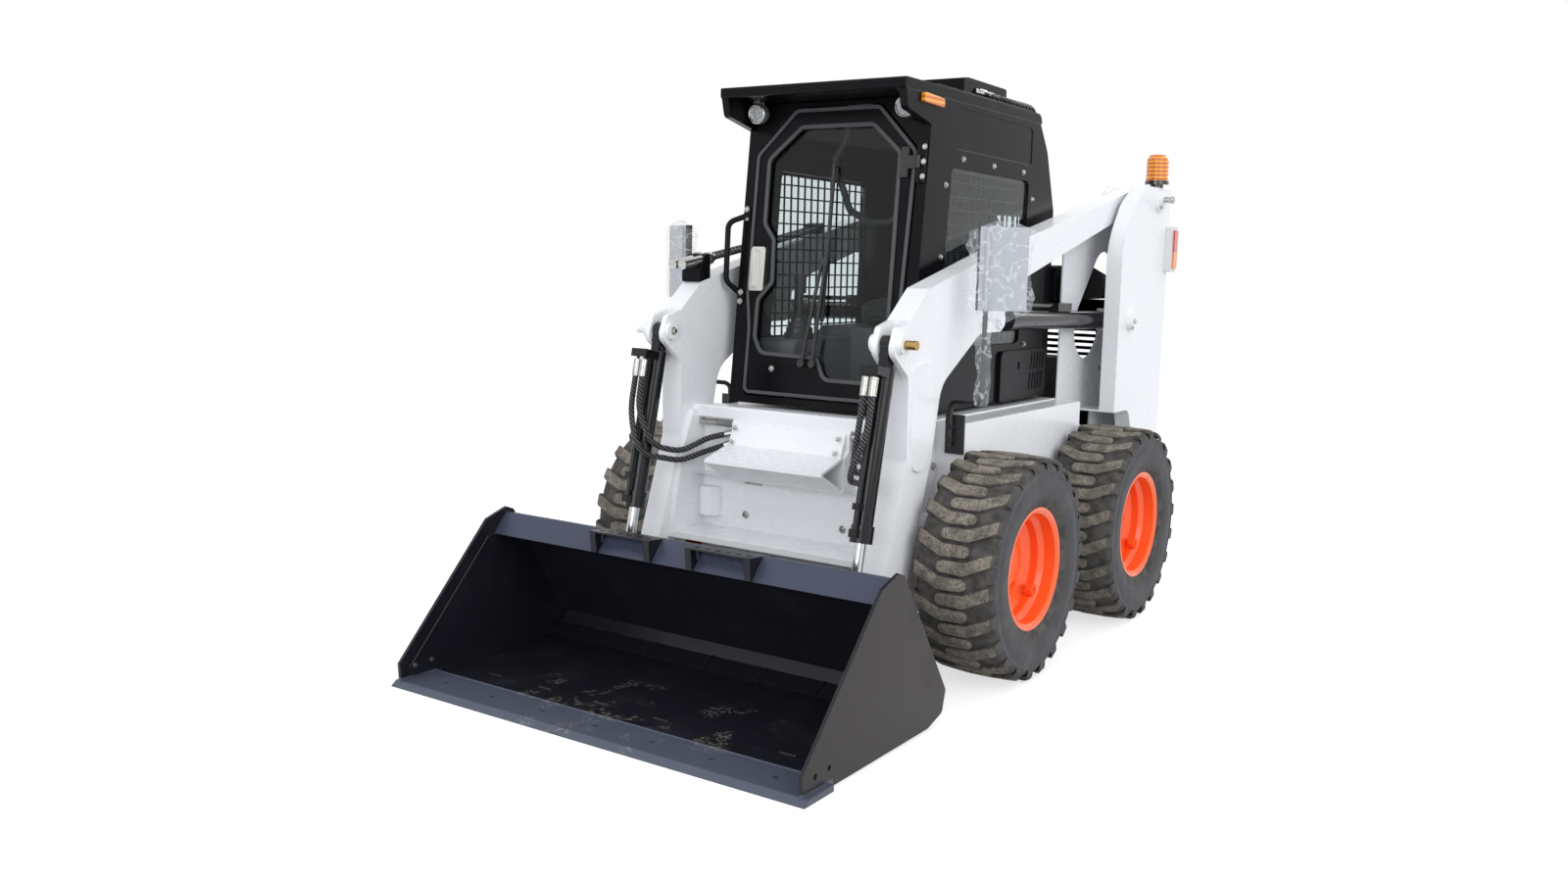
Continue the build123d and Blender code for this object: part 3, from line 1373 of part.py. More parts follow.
lever_x = 250
bar_plane_y = 300
with BuildPart() as controls:
    for hand in (1, -1):
        # bellows, stalk and grip of each control lever
        for low, high, radius in ((0, 22, 62), (22, 44, 54), (44, 66, 46), (66, 90, 36)):
            upright(hand * lever_x, 120, console_top_z + low, console_top_z + high, radius)
        upright(hand * lever_x, 120, console_top_z + 90, console_top_z + 180, 14)
        upright(hand * lever_x, 120, console_top_z + 180, console_top_z + 255, 24)
    # pedals at the front of the floor
    for hand in (1, -1):
        plate(side_plane(hand * 40), (
            (-60, cab_sill_z + 20, 0),
            (-60, cab_sill_z + 90, 0),
            (-48, cab_sill_z + 90, 0),
            (70, cab_sill_z + 32, 0),
            (70, cab_sill_z + 20, 0),
        ), hand * 80)
    # the restraint bar, swung up under the roof
    bar_end_z = roof_z(bar_plane_y, roof_thickness) - 2
    tube([(-170, bar_plane_y, bar_end_z), (-160, bar_plane_y, 1968),
          (-220, bar_plane_y, 1884), (-139, bar_plane_y, 1681), (-40, bar_plane_y, 1634),
          (40, bar_plane_y, 1634.5), (139, bar_plane_y, 1681), (220, bar_plane_y, 1884),
          (160, bar_plane_y, 1968), (170, bar_plane_y, bar_end_z)],
         14, [40, 40, 50, 50, 50, 50, 40, 40])
save(controls.part, "controls")

# ================================================================ on the roof and towers
roof_unit_half = 300
roof_unit_front_y = 404
roof_unit_rear_y = 784
with BuildPart() as roof_unit:
    plate(side_plane(-roof_unit_half), (
        (roof_unit_front_y, roof_z(roof_unit_front_y), 0),
        (roof_unit_front_y, roof_top_z + 76, 6),
        (roof_unit_front_y + 40, roof_top_z + 80, 6),
        (roof_unit_rear_y, roof_top_z + 72, 12),
        (roof_unit_rear_y, roof_z(roof_unit_rear_y), 0),
    ), 2 * roof_unit_half)
    # ribs along the box's top and a grille of slots in its front
    for rib in range(5):
        block(-260 + rib * 120, -220 + rib * 120, roof_unit_front_y + 60, roof_unit_rear_y - 30,
              roof_top_z + 60, roof_top_z + 84)
    for slot in range(8):
        block(-228 + slot * 60, -228 + slot * 60 + 36, roof_unit_front_y - 10,
              roof_unit_front_y + 12, roof_top_z + 20, roof_top_z + 44, Mode.SUBTRACT)
    # hose unions at its rear
    for x in (170, 220):
        bar_between((x, roof_unit_rear_y - 10, roof_top_z + 30),
                    (x, roof_unit_rear_y + 60, roof_top_z + 30), 13)
save(roof_unit.part, "roof_unit")

lamp_x = 324
lamp_front_y = -98
lamp_z = 2031
lamp_radius = 38
with BuildPart() as work_lamps:
    for hand in (1, -1):
        middle = Plane(origin=(hand * lamp_x, axle_y + lamp_front_y, lamp_z), x_dir=(1, 0, 0),
                       z_dir=(0, -1, -0.1))
        with BuildSketch(middle) as lens:
            Circle(lamp_radius)
        extrude(to_extrude=lens.sketch, amount=-26)
        with BuildSketch(middle.offset(-26)) as body:
            Circle(lamp_radius - 8)
        extrude(to_extrude=body.sketch, amount=-16)
        # the bracket from the lamp's back up to the visor
        lamp_back_y = lamp_front_y + 24
        block(hand * (lamp_x - 14), hand * (lamp_x + 14), lamp_back_y, lamp_back_y + 6,
              lamp_z, roof_z(lamp_back_y, roof_thickness) - 2)
        block(hand * (lamp_x - 14), hand * (lamp_x + 14), lamp_back_y - 30, lamp_back_y + 6,
              roof_z(lamp_back_y, roof_thickness) - 6, roof_z(lamp_back_y + 6, roof_thickness))
save(work_lamps.part, "work_lamps")

with BuildPart() as side_markers:
    for hand in (1, -1):
        plate(side_plane(hand * cab_half_width), (
            (-112, 2042, 8),
            (38, 2036, 8),
            (38, 2066, 8),
            (-112, 2076, 8),
        ), hand * 14)
save(side_markers.part, "side_markers")

beacon_x = tower_outer_x - 30
beacon_y = arm_pivot_y + 40
beacon_profile = (
    # radius, height above the tower's top
    (0, 0),
    (30, 0),
    (30, 16),
    (54, 16),
    (54, 34),
    (50, 34),
    (50, 128),
    (38, 150),
    (0, 156),
)
with BuildPart() as beacon:
    with BuildSketch(Plane(origin=(beacon_x, axle_y + beacon_y, tower_top_z), x_dir=(1, 0, 0),
                           z_dir=(0, -1, 0))) as half:
        with BuildLine():
            Polyline(*beacon_profile, close=True)
        make_face()
    revolve(half.sketch, axis=Axis((beacon_x, axle_y + beacon_y, tower_top_z), (0, 0, 1)))
save(beacon.part, "beacon")

with BuildPart() as tail_lamps:
    for hand in (1, -1):
        plate(side_plane(hand * tower_outer_x), (
            (tower_rear_y - 45, lamp_low_z, 10),
            (tail_reach, lamp_low_z, 10),
            (tail_reach, lamp_low_z + lamp_height, 10),
            (tower_rear_y - 45, lamp_low_z + lamp_height, 10),
        ), hand * 34)
        # the lens stands a little out of its housing, at the side
        plate(side_plane(hand * (tower_outer_x + 34)), (
            (tower_rear_y - 30, lamp_low_z + 16, 10),
            (tail_reach - 8, lamp_low_z + 16, 10),
            (tail_reach - 8, lamp_low_z + lamp_height - 16, 10),
            (tower_rear_y - 30, lamp_low_z + lamp_height - 16, 10),
        ), hand * 8)
save(tail_lamps.part, "tail_lamps")

# ================================================================ mirrors
mirror_post_x = 679
mirror_post_y = -107
mirror_angle = 27           # how far the head's outer end is turned back
mirror_low_z = 1318
mirror_height = 290
mirror_width = 176
with BuildPart() as mirrors:
    # the plate on the fender's front, the bent post and the head
    block(478, 554, fender_front_y - 8, fender_front_y, 785, 930)
    tube([(504, fender_front_y - 20, 812), (504, fender_front_y - 20, 976),
          (mirror_post_x, mirror_post_y, 990), (mirror_post_x, mirror_post_y, 1600)], 9, [28, 45])
    for z in (838, 886):
        block(490, 518, fender_front_y - 31, fender_front_y - 8, z - 7, z + 7)
    head = Plane(origin=(mirror_post_x + 38, axle_y + mirror_post_y + 41, mirror_low_z),
                 x_dir=(cos(radians(mirror_angle)), sin(radians(mirror_angle)), 0), z_dir=(0, 0, 1))
    with BuildSketch(head) as head_section:
        RectangleRounded(mirror_width, 30, 12)
    extrude(to_extrude=head_section.sketch, amount=mirror_height)
    # the arm from the post to the head's middle
    bar_between((mirror_post_x, mirror_post_y, 1470), (mirror_post_x + 38, mirror_post_y + 41, 1470), 8)
    mirror(mirrors.part, about=Plane.YZ)
save(mirrors.part, "mirrors")

# ================================================================ engine bay
with BuildPart() as engine_block:
    block(-230, 230, cab_rear_y + 90, frame_rear_y - 140, 420, 1050)
save(engine_block.part, "engine_block")

hood_top_z = 1480
hood_low_z = 1330
hood_rear_y = tower_rear_y - 20
hood_half_width = frame_half_width - 20
hood_wall = 6


def hood_corners(inset):
    """The hood's outline from the side, drawn in by its wall for the hollow."""
    low = hood_low_z - 5 * inset
    return (
        (cab_rear_y + 10 + inset, low, 0),
        (cab_rear_y + 10 + inset, hood_top_z - inset, 30),
        (1500 + inset / 2, hood_top_z - inset, 30),
        (hood_rear_y - inset, hood_top_z - 80 - inset, 30),
        (hood_rear_y - inset, low, 0),
    )


with BuildPart() as engine_hood:
    plate(side_plane(-hood_half_width), hood_corners(0), 2 * hood_half_width)
    plate(side_plane(-hood_half_width + hood_wall), hood_corners(hood_wall),
          2 * (hood_half_width - hood_wall), Mode.SUBTRACT)
    # a grille of long slots over the radiator
    for slot in range(8):
        block(-250, 250, cab_rear_y + 80 + slot * 36, cab_rear_y + 98 + slot * 36,
              hood_top_z - 20, hood_top_z + 20, Mode.SUBTRACT)
save(engine_hood.part, "engine_hood")

gate_low_z = 500
gate_top_z = 1320
gate_hinge_radius = 10
gate_hinge_x = tailgate_half_width
gate_hinge_y = frame_rear_y + tailgate_thickness + 8
with BuildPart() as tailgate:
    block(-tailgate_half_width, tailgate_half_width, frame_rear_y, frame_rear_y + tailgate_thickness,
          gate_low_z, gate_top_z)
    # the hollow inside of the door's shell, two grilles of slots and the hinge knuckles
    block(-tailgate_half_width + 12, tailgate_half_width - 12, frame_rear_y,
          frame_rear_y + tailgate_thickness - 10, gate_low_z + 12, gate_top_z - 12, Mode.SUBTRACT)
    for slot in range(12):
        z = gate_top_z - 110 - slot * 30
        block(-300, 300, frame_rear_y, frame_rear_y + tailgate_thickness, z, z + 14, Mode.SUBTRACT)
    for low in (gate_low_z + 80, gate_top_z - 180):
        upright(gate_hinge_x, gate_hinge_y, low, low + 100, gate_hinge_radius)
        block(gate_hinge_x - 50, gate_hinge_x, frame_rear_y + tailgate_thickness - 2,
              gate_hinge_y, low, low + 100)
    block(-gate_hinge_x + 60, -gate_hinge_x + 84, frame_rear_y + tailgate_thickness,
          frame_rear_y + tailgate_thickness + 14, 860, 980)
save(tailgate.part, "tailgate")

with BuildPart() as side_covers:
    plate(side_plane(cab_half_width), (
        (600, cab_sill_z, 0),
        (cab_rear_y - 46, cab_sill_z, 40),
        (cab_rear_y - 46, pane_low_z - 30, 30),
        (600, pane_low_z - 30, 30),
    ), 14)
    # two groups of upright louvres and the catch
    for low, shift in ((958, 0), (1042, 12)):
        for slot in range(5):
            y = 872 + shift + slot * 29
            plate(side_plane(cab_half_width + 4), (
                (y, low, 0),
                (y + 11, low, 0),
                (y + 21, low + 70, 0),
                (y + 10, low + 70, 0),
            ), 10, Mode.SUBTRACT)
    block(cab_half_width + 14, cab_half_width + 18, 772, 800, 1050, 1078)
    mirror(side_covers.part, about=Plane.YZ)
save(side_covers.part, "side_covers")
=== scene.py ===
"""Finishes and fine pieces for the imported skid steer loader, laid out as a Blender add-on."""

from math import cos, pi, radians, sin

import bmesh
import bpy
from mathutils import Matrix, Vector, noise


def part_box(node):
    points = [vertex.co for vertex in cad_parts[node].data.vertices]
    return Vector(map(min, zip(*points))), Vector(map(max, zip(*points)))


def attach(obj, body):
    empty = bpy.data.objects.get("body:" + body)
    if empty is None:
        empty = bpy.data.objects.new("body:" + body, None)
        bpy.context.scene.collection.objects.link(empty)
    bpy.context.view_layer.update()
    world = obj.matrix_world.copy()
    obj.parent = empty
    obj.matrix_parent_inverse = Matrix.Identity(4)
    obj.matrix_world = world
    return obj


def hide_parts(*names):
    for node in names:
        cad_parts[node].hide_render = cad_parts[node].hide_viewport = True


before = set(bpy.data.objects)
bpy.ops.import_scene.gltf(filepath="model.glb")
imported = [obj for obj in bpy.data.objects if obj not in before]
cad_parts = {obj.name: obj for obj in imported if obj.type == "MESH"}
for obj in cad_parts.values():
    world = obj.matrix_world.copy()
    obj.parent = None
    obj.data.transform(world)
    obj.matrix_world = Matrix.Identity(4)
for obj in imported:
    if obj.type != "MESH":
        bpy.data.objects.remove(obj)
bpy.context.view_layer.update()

bl_info = {
    "name": "Skid Steer Loader Dressing",
    "version": (1, 0, 0),
    "blender": (4, 5, 0),
    "location": "View3D > Sidebar > Loader",
    "description": "Adds paint, rubber, glass and small pieces to a skid steer loader",
    "category": "Object",
}

# The loader's own places, in metres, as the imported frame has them.
FRONT_AXLE_Y = -0.2395
WHEELBASE = 1.063
AXLE_Z = 0.406
TYRE_RADIUS = AXLE_Z
HALF_TRACK = 0.7315
CAB_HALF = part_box("cab_roof")[1][0]
LEAN = radians(6.1)
SILL = Vector((0, FRONT_AXLE_Y - 0.145, 0.922))
FACE_OUT = Vector((0, -cos(LEAN), sin(LEAN)))
FACE_UP = Vector((0, sin(LEAN), cos(LEAN)))


def at(x, y, z):
    """A place given with y measured back from the front axle."""
    return Vector((x, FRONT_AXLE_Y + y, z))


def on_face(x, up, proud=0.0):
    """A place on the cab's leaning front, up it from the sill and in front of it."""
    return SILL + Vector((x, 0, 0)) + FACE_UP * up + FACE_OUT * proud


# ---------------------------------------------------------------- settings


class LoaderColours(bpy.types.PropertyGroup):
    """The colours of the loader's finishes."""

    body: bpy.props.FloatVectorProperty(
        name="Body", description="Paint of the arms, towers and lower frame",
        default=(0.86, 0.868, 0.885), subtype="COLOR", min=0, max=1)
    cab: bpy.props.FloatVectorProperty(
        name="Cab", description="Paint of the cab, hood and tailgate",
        default=(0.005, 0.0053, 0.0066), subtype="COLOR", min=0, max=1)
    bucket: bpy.props.FloatVectorProperty(
        name="Bucket", description="Paint of the bucket and its attach frame",
        default=(0.0095, 0.01, 0.0145), subtype="COLOR", min=0, max=1)
    rim: bpy.props.FloatVectorProperty(
        name="Rims", description="Paint of the four rims",
        default=(1.0, 0.13, 0.02), subtype="COLOR", min=0, max=1)
    rubber: bpy.props.FloatVectorProperty(
        name="Rubber", description="Clean rubber of tyres, hoses and seals",
        default=(0.018, 0.017, 0.017), subtype="COLOR", min=0, max=1)
    dust: bpy.props.FloatVectorProperty(
        name="Dust", description="Dry earth on the tyres and low panels",
        default=(0.33, 0.29, 0.235), subtype="COLOR", min=0, max=1)
    amber: bpy.props.FloatVectorProperty(
        name="Amber", description="Beacon and marker lenses",
        default=(1.0, 0.42, 0.02), subtype="COLOR", min=0, max=1)


class LoaderSizes(bpy.types.PropertyGroup):
    """Sizes of the small pieces."""

    bolt: bpy.props.FloatProperty(
        name="Bolt head", description="Across the flats of a bolt head",
        default=0.019, min=0.008, max=0.04, subtype="DISTANCE", unit="LENGTH")
    tread_lug: bpy.props.FloatProperty(
        name="Tread plate lug", description="Length of a raised lug on the step",
        default=0.024, min=0.01, max=0.05, subtype="DISTANCE", unit="LENGTH")
    dirt: bpy.props.FloatProperty(
        name="Dirt", description="How much dust lies on the lower panels",
        default=0.12, min=0, max=1, subtype="FACTOR")
    edge_radius: bpy.props.FloatProperty(
        name="Edge rounding", description="Radius to which plate edges look broken",
        default=0.003, min=0, max=0.01, subtype="DISTANCE", unit="LENGTH")


# ---------------------------------------------------------------- shader writing


class Value:
    """A number from a node, so that shader maths reads as arithmetic."""

    def __init__(self, nodes, socket):
        self.nodes = nodes
        self.socket = socket

    def math(self, operation, *parts):
        return self.nodes.node("ShaderNodeMath", {"operation": operation}, dict(enumerate(parts)))

    def __add__(self, other):
        return self.math("ADD", self, other)

    __radd__ = __add__

    def __mul__(self, other):
        return self.math("MULTIPLY", self, other)

    __rmul__ = __mul__

    def __sub__(self, other):
        return self.math("SUBTRACT", self, other)

    def __rsub__(self, other):
        return self.math("SUBTRACT", other, self)

    def __pow__(self, other):
        return self.math("POWER", self, other)

    def __abs__(self):
        return self.math("ABSOLUTE", self)

    def sine(self):
        return self.math("SINE", self)

    def least(self, other):
        return self.math("MINIMUM", self, other)

    def most(self, other):
        return self.math("MAXIMUM", self, other)

    def rise(self, low, high):
        """0 below low, 1 above high, smooth between."""
        return self.nodes.node(
            "ShaderNodeMapRange", {"interpolation_type": "SMOOTHSTEP"},
            {"Value": self, "From Min": low, "From Max": high})

    def fall(self, low, high):
        return 1 - self.rise(low, high)


class Nodes:
    """A node tree, and the calls that write it."""

    def __init__(self, tree):
        self.tree = tree

    def feed(self, socket, value):
        if isinstance(value, Value):
            self.tree.links.new(value.socket, socket)
        elif hasattr(socket.default_value, "__len__") and len(socket.default_value) == 4:
            socket.default_value = (*tuple(value)[:3], 1.0)
        else:
            socket.default_value = value

    def node(self, kind, settings=None, inputs=None, output=0):
        """A new node's output, after its settings and then its sockets are filled."""
        made = self.tree.nodes.new(kind)
        for name, value in (settings or {}).items():
            setattr(made, name, value)
        for name, value in (inputs or {}).items():
            self.feed(made.inputs[name], value)
        if made.outputs:
            return Value(self, made.outputs[output])

    def rays(self, *kinds):
        """1 for rays of these kinds, 0 for the rest."""
        seen = 0
        for kind in kinds:
            seen = self.node("ShaderNodeLightPath", output="Is " + kind + " Ray").most(seen)
        return seen


class Finish(Nodes):
    """One procedural material for pieces of the loader."""

    def __init__(self, name, colour, roughness, **fixed):
        self.name = name
        self.material = bpy.data.materials.new(name)
        self.material.use_nodes = True
        super().__init__(self.material.node_tree)
        self.shader = self.tree.nodes["Principled BSDF"]
        self.set("Base Color", colour)
        self.set("Roughness", roughness)
        for label, value in fixed.items():
            self.set(label.replace("_", " ").title().replace("Ior", "IOR"), value)
        self.where = self.node("ShaderNodeTexCoord", output="Object")
        self.x, self.y, self.z = (
            self.node("ShaderNodeSeparateXYZ", None, {0: self.where}, axis) for axis in "XYZ")

    def set(self, label, value):
        self.feed(self.shader.inputs[label], value)

    def noise(self, scale, detail=3.0, stretch=None, rough=0.55):
        place = self.where
        if stretch:
            place = self.node("ShaderNodeVectorMath", {"operation": "MULTIPLY"},
                              {0: place, 1: stretch})
        return self.node("ShaderNodeTexNoise", None,
                         {"Vector": place, "Scale": scale, "Detail": detail, "Roughness": rough})

    def cells(self, scale, feature="F1"):
        return self.node("ShaderNodeTexVoronoi", {"feature": feature},
                         {"Vector": self.where, "Scale": scale})

    def mix(self, amount, first, second):
        """One colour turning into another as the amount goes from 0 to 1."""
        return self.node("ShaderNodeMix", {"data_type": "RGBA"},
                         {0: amount, 6: first, 7: second}, 2)

    def facing(self, axis):
        """The part of the surface's normal along X, Y or Z."""
        normal = self.node("ShaderNodeNewGeometry", output="Normal")
        return self.node("ShaderNodeSeparateXYZ", None, {0: normal}, axis)

    def rounded(self, radius):
        """The normal as it would be with the edges rounded."""
        return self.node("ShaderNodeBevel", {"samples": 4}, {"Radius": radius})

    def edges(self, radius):
        """1 on the outer edges and corners, 0 on the flats."""
        plain = self.node("ShaderNodeNewGeometry", output="Normal")
        likeness = self.node("ShaderNodeVectorMath", {"operation": "DOT_PRODUCT"},
                             {0: self.rounded(radius), 1: plain}, "Value")
        return likeness.fall(0.75, 0.995)

    def relief(self, height, distance, round_edges=0.0):
        """Bump from a height, on softened edges where asked."""
        inputs = {"Height": height, "Distance": distance, "Strength": 1.0}
        if round_edges:
            inputs["Normal"] = self.rounded(round_edges)
        self.set("Normal", self.node("ShaderNodeBump", None, inputs))


FINISHES = {}


def finish(name):
    """A finish made earlier, by its name."""
    return FINISHES[name].material


def keep(made):
    """Hold a made finish, so that pieces find it by its name."""
    FINISHES[made.name] = made


def orange_peel(made):
    return made.noise(260, 2) * 0.5 + made.noise(38, 2) * 0.1


def make_paints(colours, sizes):
    """Body, cab, bucket, rim and cylinder paints."""
    body = Finish("body_white", colours.body, 0.3, coat_weight=0.2, coat_roughness=0.12)
    low = body.z.fall(0.2, 0.7)
    patches = body.noise(7, 5).rise(0.45, 0.8)
    specks = body.noise(120, 2).rise(0.62, 0.75)
    dirt = low * (patches * 0.4 + specks * 0.25) * sizes.dirt
    tint = body.mix(body.noise(1.6, 2), (0.85, 0.858, 0.878), colours.body)
    dusty = body.mix(dirt, tint, colours.dust)
    brass = body.x.rise(0.5605, 0.5615) * body.y.fall(-0.55, -0.54) * body.z.rise(1.1, 1.12)
    body.set("Base Color", body.mix(brass, dusty, (0.42, 0.27, 0.1)))
    body.set("Metallic", brass)
    body.set("Roughness", 0.27 + patches * 0.02 + dirt * 0.5)
    body.relief(orange_peel(body), 0.0003, sizes.edge_radius)
    keep(body)

    cab = Finish("cab_black", colours.cab, 0.2, specular_ior_level=0.1)
    film = cab.noise(9, 5).rise(0.45, 0.8) * (0.25 + cab.facing("Z").rise(0.2, 0.9))
    cab.set("Base Color", cab.mix(film * 0.05, colours.cab, (0.2, 0.19, 0.18)))
    cab.set("Roughness", 0.16 + film * 0.2 + cab.noise(3, 2) * 0.06)
    cab.relief(orange_peel(cab), 0.0003, sizes.edge_radius)
    keep(cab)

    bucket = Finish("bucket_blue_black", colours.bucket, 0.4, specular_ior_level=0.28)
    worn = bucket.noise(5, 6).rise(0.5, 0.72)
    lines = bucket.noise(14, 4, (1.0, 9.0, 9.0)).rise(0.62, 0.72)
    inside = bucket.z.fall(0.02, 0.3)
    flank = abs(bucket.facing("X")).rise(0.9, 0.97) * abs(bucket.x).rise(0.826, 0.828)
    lip = bucket.z.fall(0.026, 0.03) * bucket.y.fall(-1.52, -1.515)
    # Painted reflection: the bar's forward-facing faces get a lighter copy of the bucket paint, in
    # place of the sheen that the glossy paint shows there.
    painted_sheen_bar = bucket.z.rise(0.46, 0.47) * bucket.y.fall(-1.1, -1.09)
    painted_sheen_bar = painted_sheen_bar * bucket.facing("Y").fall(-0.6, -0.5)
    painted_sheen_bar = painted_sheen_bar * (bucket.y - bucket.z * 0.808).rise(-1.6165, -1.6135)
    coat = bucket.mix(painted_sheen_bar, colours.bucket, (0.045, 0.052, 0.088))
    coat = bucket.mix(flank, coat, (0.013, 0.0085, 0.0075))
    coat = bucket.mix(lip, coat, (0.075, 0.085, 0.12))
    rubbed = bucket.mix(lines * inside * 0.2 + worn * 0.05, coat, (0.1, 0.1, 0.11))
    floor = bucket.z.fall(0.05, 0.06) * bucket.y.fall(-1.2, -1.15) * abs(bucket.x).fall(0.4, 0.5)
    soles = floor * bucket.noise(7, 2).rise(0.55, 0.6) * bucket.noise(75, 3).rise(0.5, 0.6)
    earth = bucket.mix(inside * soles * 0.3, rubbed, colours.dust)
    bright = bucket.edges(0.004) * bucket.noise(30, 3).rise(0.35, 0.6)
    bucket.set("Base Color", bucket.mix(bright * 0.35, earth, (0.13, 0.125, 0.12)))
    bucket.set("Roughness", 0.33 + worn * 0.12 + lines * 0.1)
    bucket.relief(orange_peel(bucket) + lines * -0.3, 0.0004, sizes.edge_radius)
    keep(bucket)

    rim = Finish("rim_orange", colours.rim, 0.32, coat_weight=0.3, coat_roughness=0.15)
    powder = rim.noise(22, 4).rise(0.45, 0.8)
    rim.set("Base Color", rim.mix(powder * 0.14, colours.rim, (0.45, 0.2, 0.09)))
    rim.set("Roughness", 0.3 + powder * 0.25)
    rim.relief(orange_peel(rim), 0.0003, 0.002)
    keep(rim)

    gloss = Finish("cylinder_gloss", (0.009, 0.009, 0.011), 0.16, coat_weight=0.25,
                   coat_roughness=0.05, specular_ior_level=0.2)
    smear = gloss.noise(16, 4).rise(0.5, 0.8)
    gloss.set("Base Color", gloss.mix(smear * 0.12, (0.009, 0.009, 0.011), (0.08, 0.075, 0.07)))
    gloss.set("Roughness", 0.14 + smear * 0.25)
    gloss.relief(orange_peel(gloss), 0.0002, 0.002)
    keep(gloss)


def make_rubbers(colours):
    """Tyre, hose and seal rubber."""
    tyre = Finish("tyre_rubber", colours.rubber, 0.75)
    height = tyre.z - AXLE_Z
    front = tyre.y - FRONT_AXLE_Y
    rear = front - WHEELBASE
    along = (front * front).least(rear * rear)
    radius = (along + height * height) ** 0.5
    side = abs(tyre.x) - HALF_TRACK
    shoulder = abs(side).fall(0.139, 0.1505).most(radius.rise(0.366, 0.372))
    tops = radius.rise(0.397, 0.3995)
    grime = tyre.noise(26, 5).rise(0.3, 0.7)
    fine = tyre.noise(240, 3)
    pores = tyre.noise(150, 3, None, 0.7).rise(0.5, 0.62)
    rubbed = tyre.mix(grime * 0.8, (0.17, 0.152, 0.125), colours.dust)
    rubbed = tyre.mix(pores * 0.75, rubbed, (0.045, 0.04, 0.034))
    groove = tyre.mix(grime * 0.7, (0.035, 0.033, 0.031), (0.12, 0.11, 0.1))
    tread = tyre.mix(tops * (0.7 + grime * 0.3), groove, rubbed)
    bloom = tyre.noise(12, 4).rise(0.4, 0.8)
    wall = tyre.mix(bloom * 0.6, (0.036, 0.036, 0.042), (0.085, 0.082, 0.084))
    tyre.set("Base Color", tyre.mix(shoulder, wall, tread))
    tyre.set("Roughness", 0.62 + shoulder * 0.25 + grime * 0.05)
    tyre.relief(fine * 0.3 - tops * pores * 0.6, 0.0014, 0.004)
    keep(tyre)

    hose = Finish("hose_rubber", colours.rubber, 0.48)
    turns = ((hose.z + hose.x * 0.8 + hose.y * 0.5) * 420).sine()
    spiral = turns.rise(-0.2, 0.8)
    hose.set("Base Color", hose.mix(spiral, (0.005, 0.005, 0.006), (0.11, 0.11, 0.117)))
    hose.relief(turns, 0.0024)
    keep(hose)

    seal = Finish("seal_rubber", (0.06, 0.062, 0.066), 0.55)
    seal.set("Roughness", 0.5 + seal.noise(40, 3) * 0.15)
    seal.relief(seal.noise(180, 3), 0.0004, 0.003)
    keep(seal)


def make_metals():
    """Chrome rods, plated fittings and cast iron."""
    chrome = Finish("rod_chrome", (0.55, 0.56, 0.59), 0.1, metallic=1.0)
    chrome.set("Roughness", 0.07 + chrome.noise(60, 3, (6.0, 1.0, 1.0)) * 0.09)
    chrome.relief(chrome.noise(300, 2), 0.00005)
    keep(chrome)

    plated = Finish("plated_steel", (0.5, 0.5, 0.49), 0.3, metallic=1.0)
    stain = plated.noise(70, 4).rise(0.45, 0.75)
    plated.set("Base Color", plated.mix(stain * 0.5, (0.5, 0.5, 0.49), (0.32, 0.29, 0.23)))
    plated.set("Roughness", 0.24 + stain * 0.22)
    plated.relief(plated.noise(400, 2), 0.0001, 0.0012)
    keep(plated)

    iron = Finish("engine_iron", (0.1, 0.1, 0.11), 0.6, metallic=0.5)
    iron.set("Base Color", iron.mix(iron.noise(14, 4), (0.06, 0.06, 0.065), (0.16, 0.15, 0.14)))
    iron.relief(iron.noise(160, 4), 0.0008, 0.004)
    keep(iron)


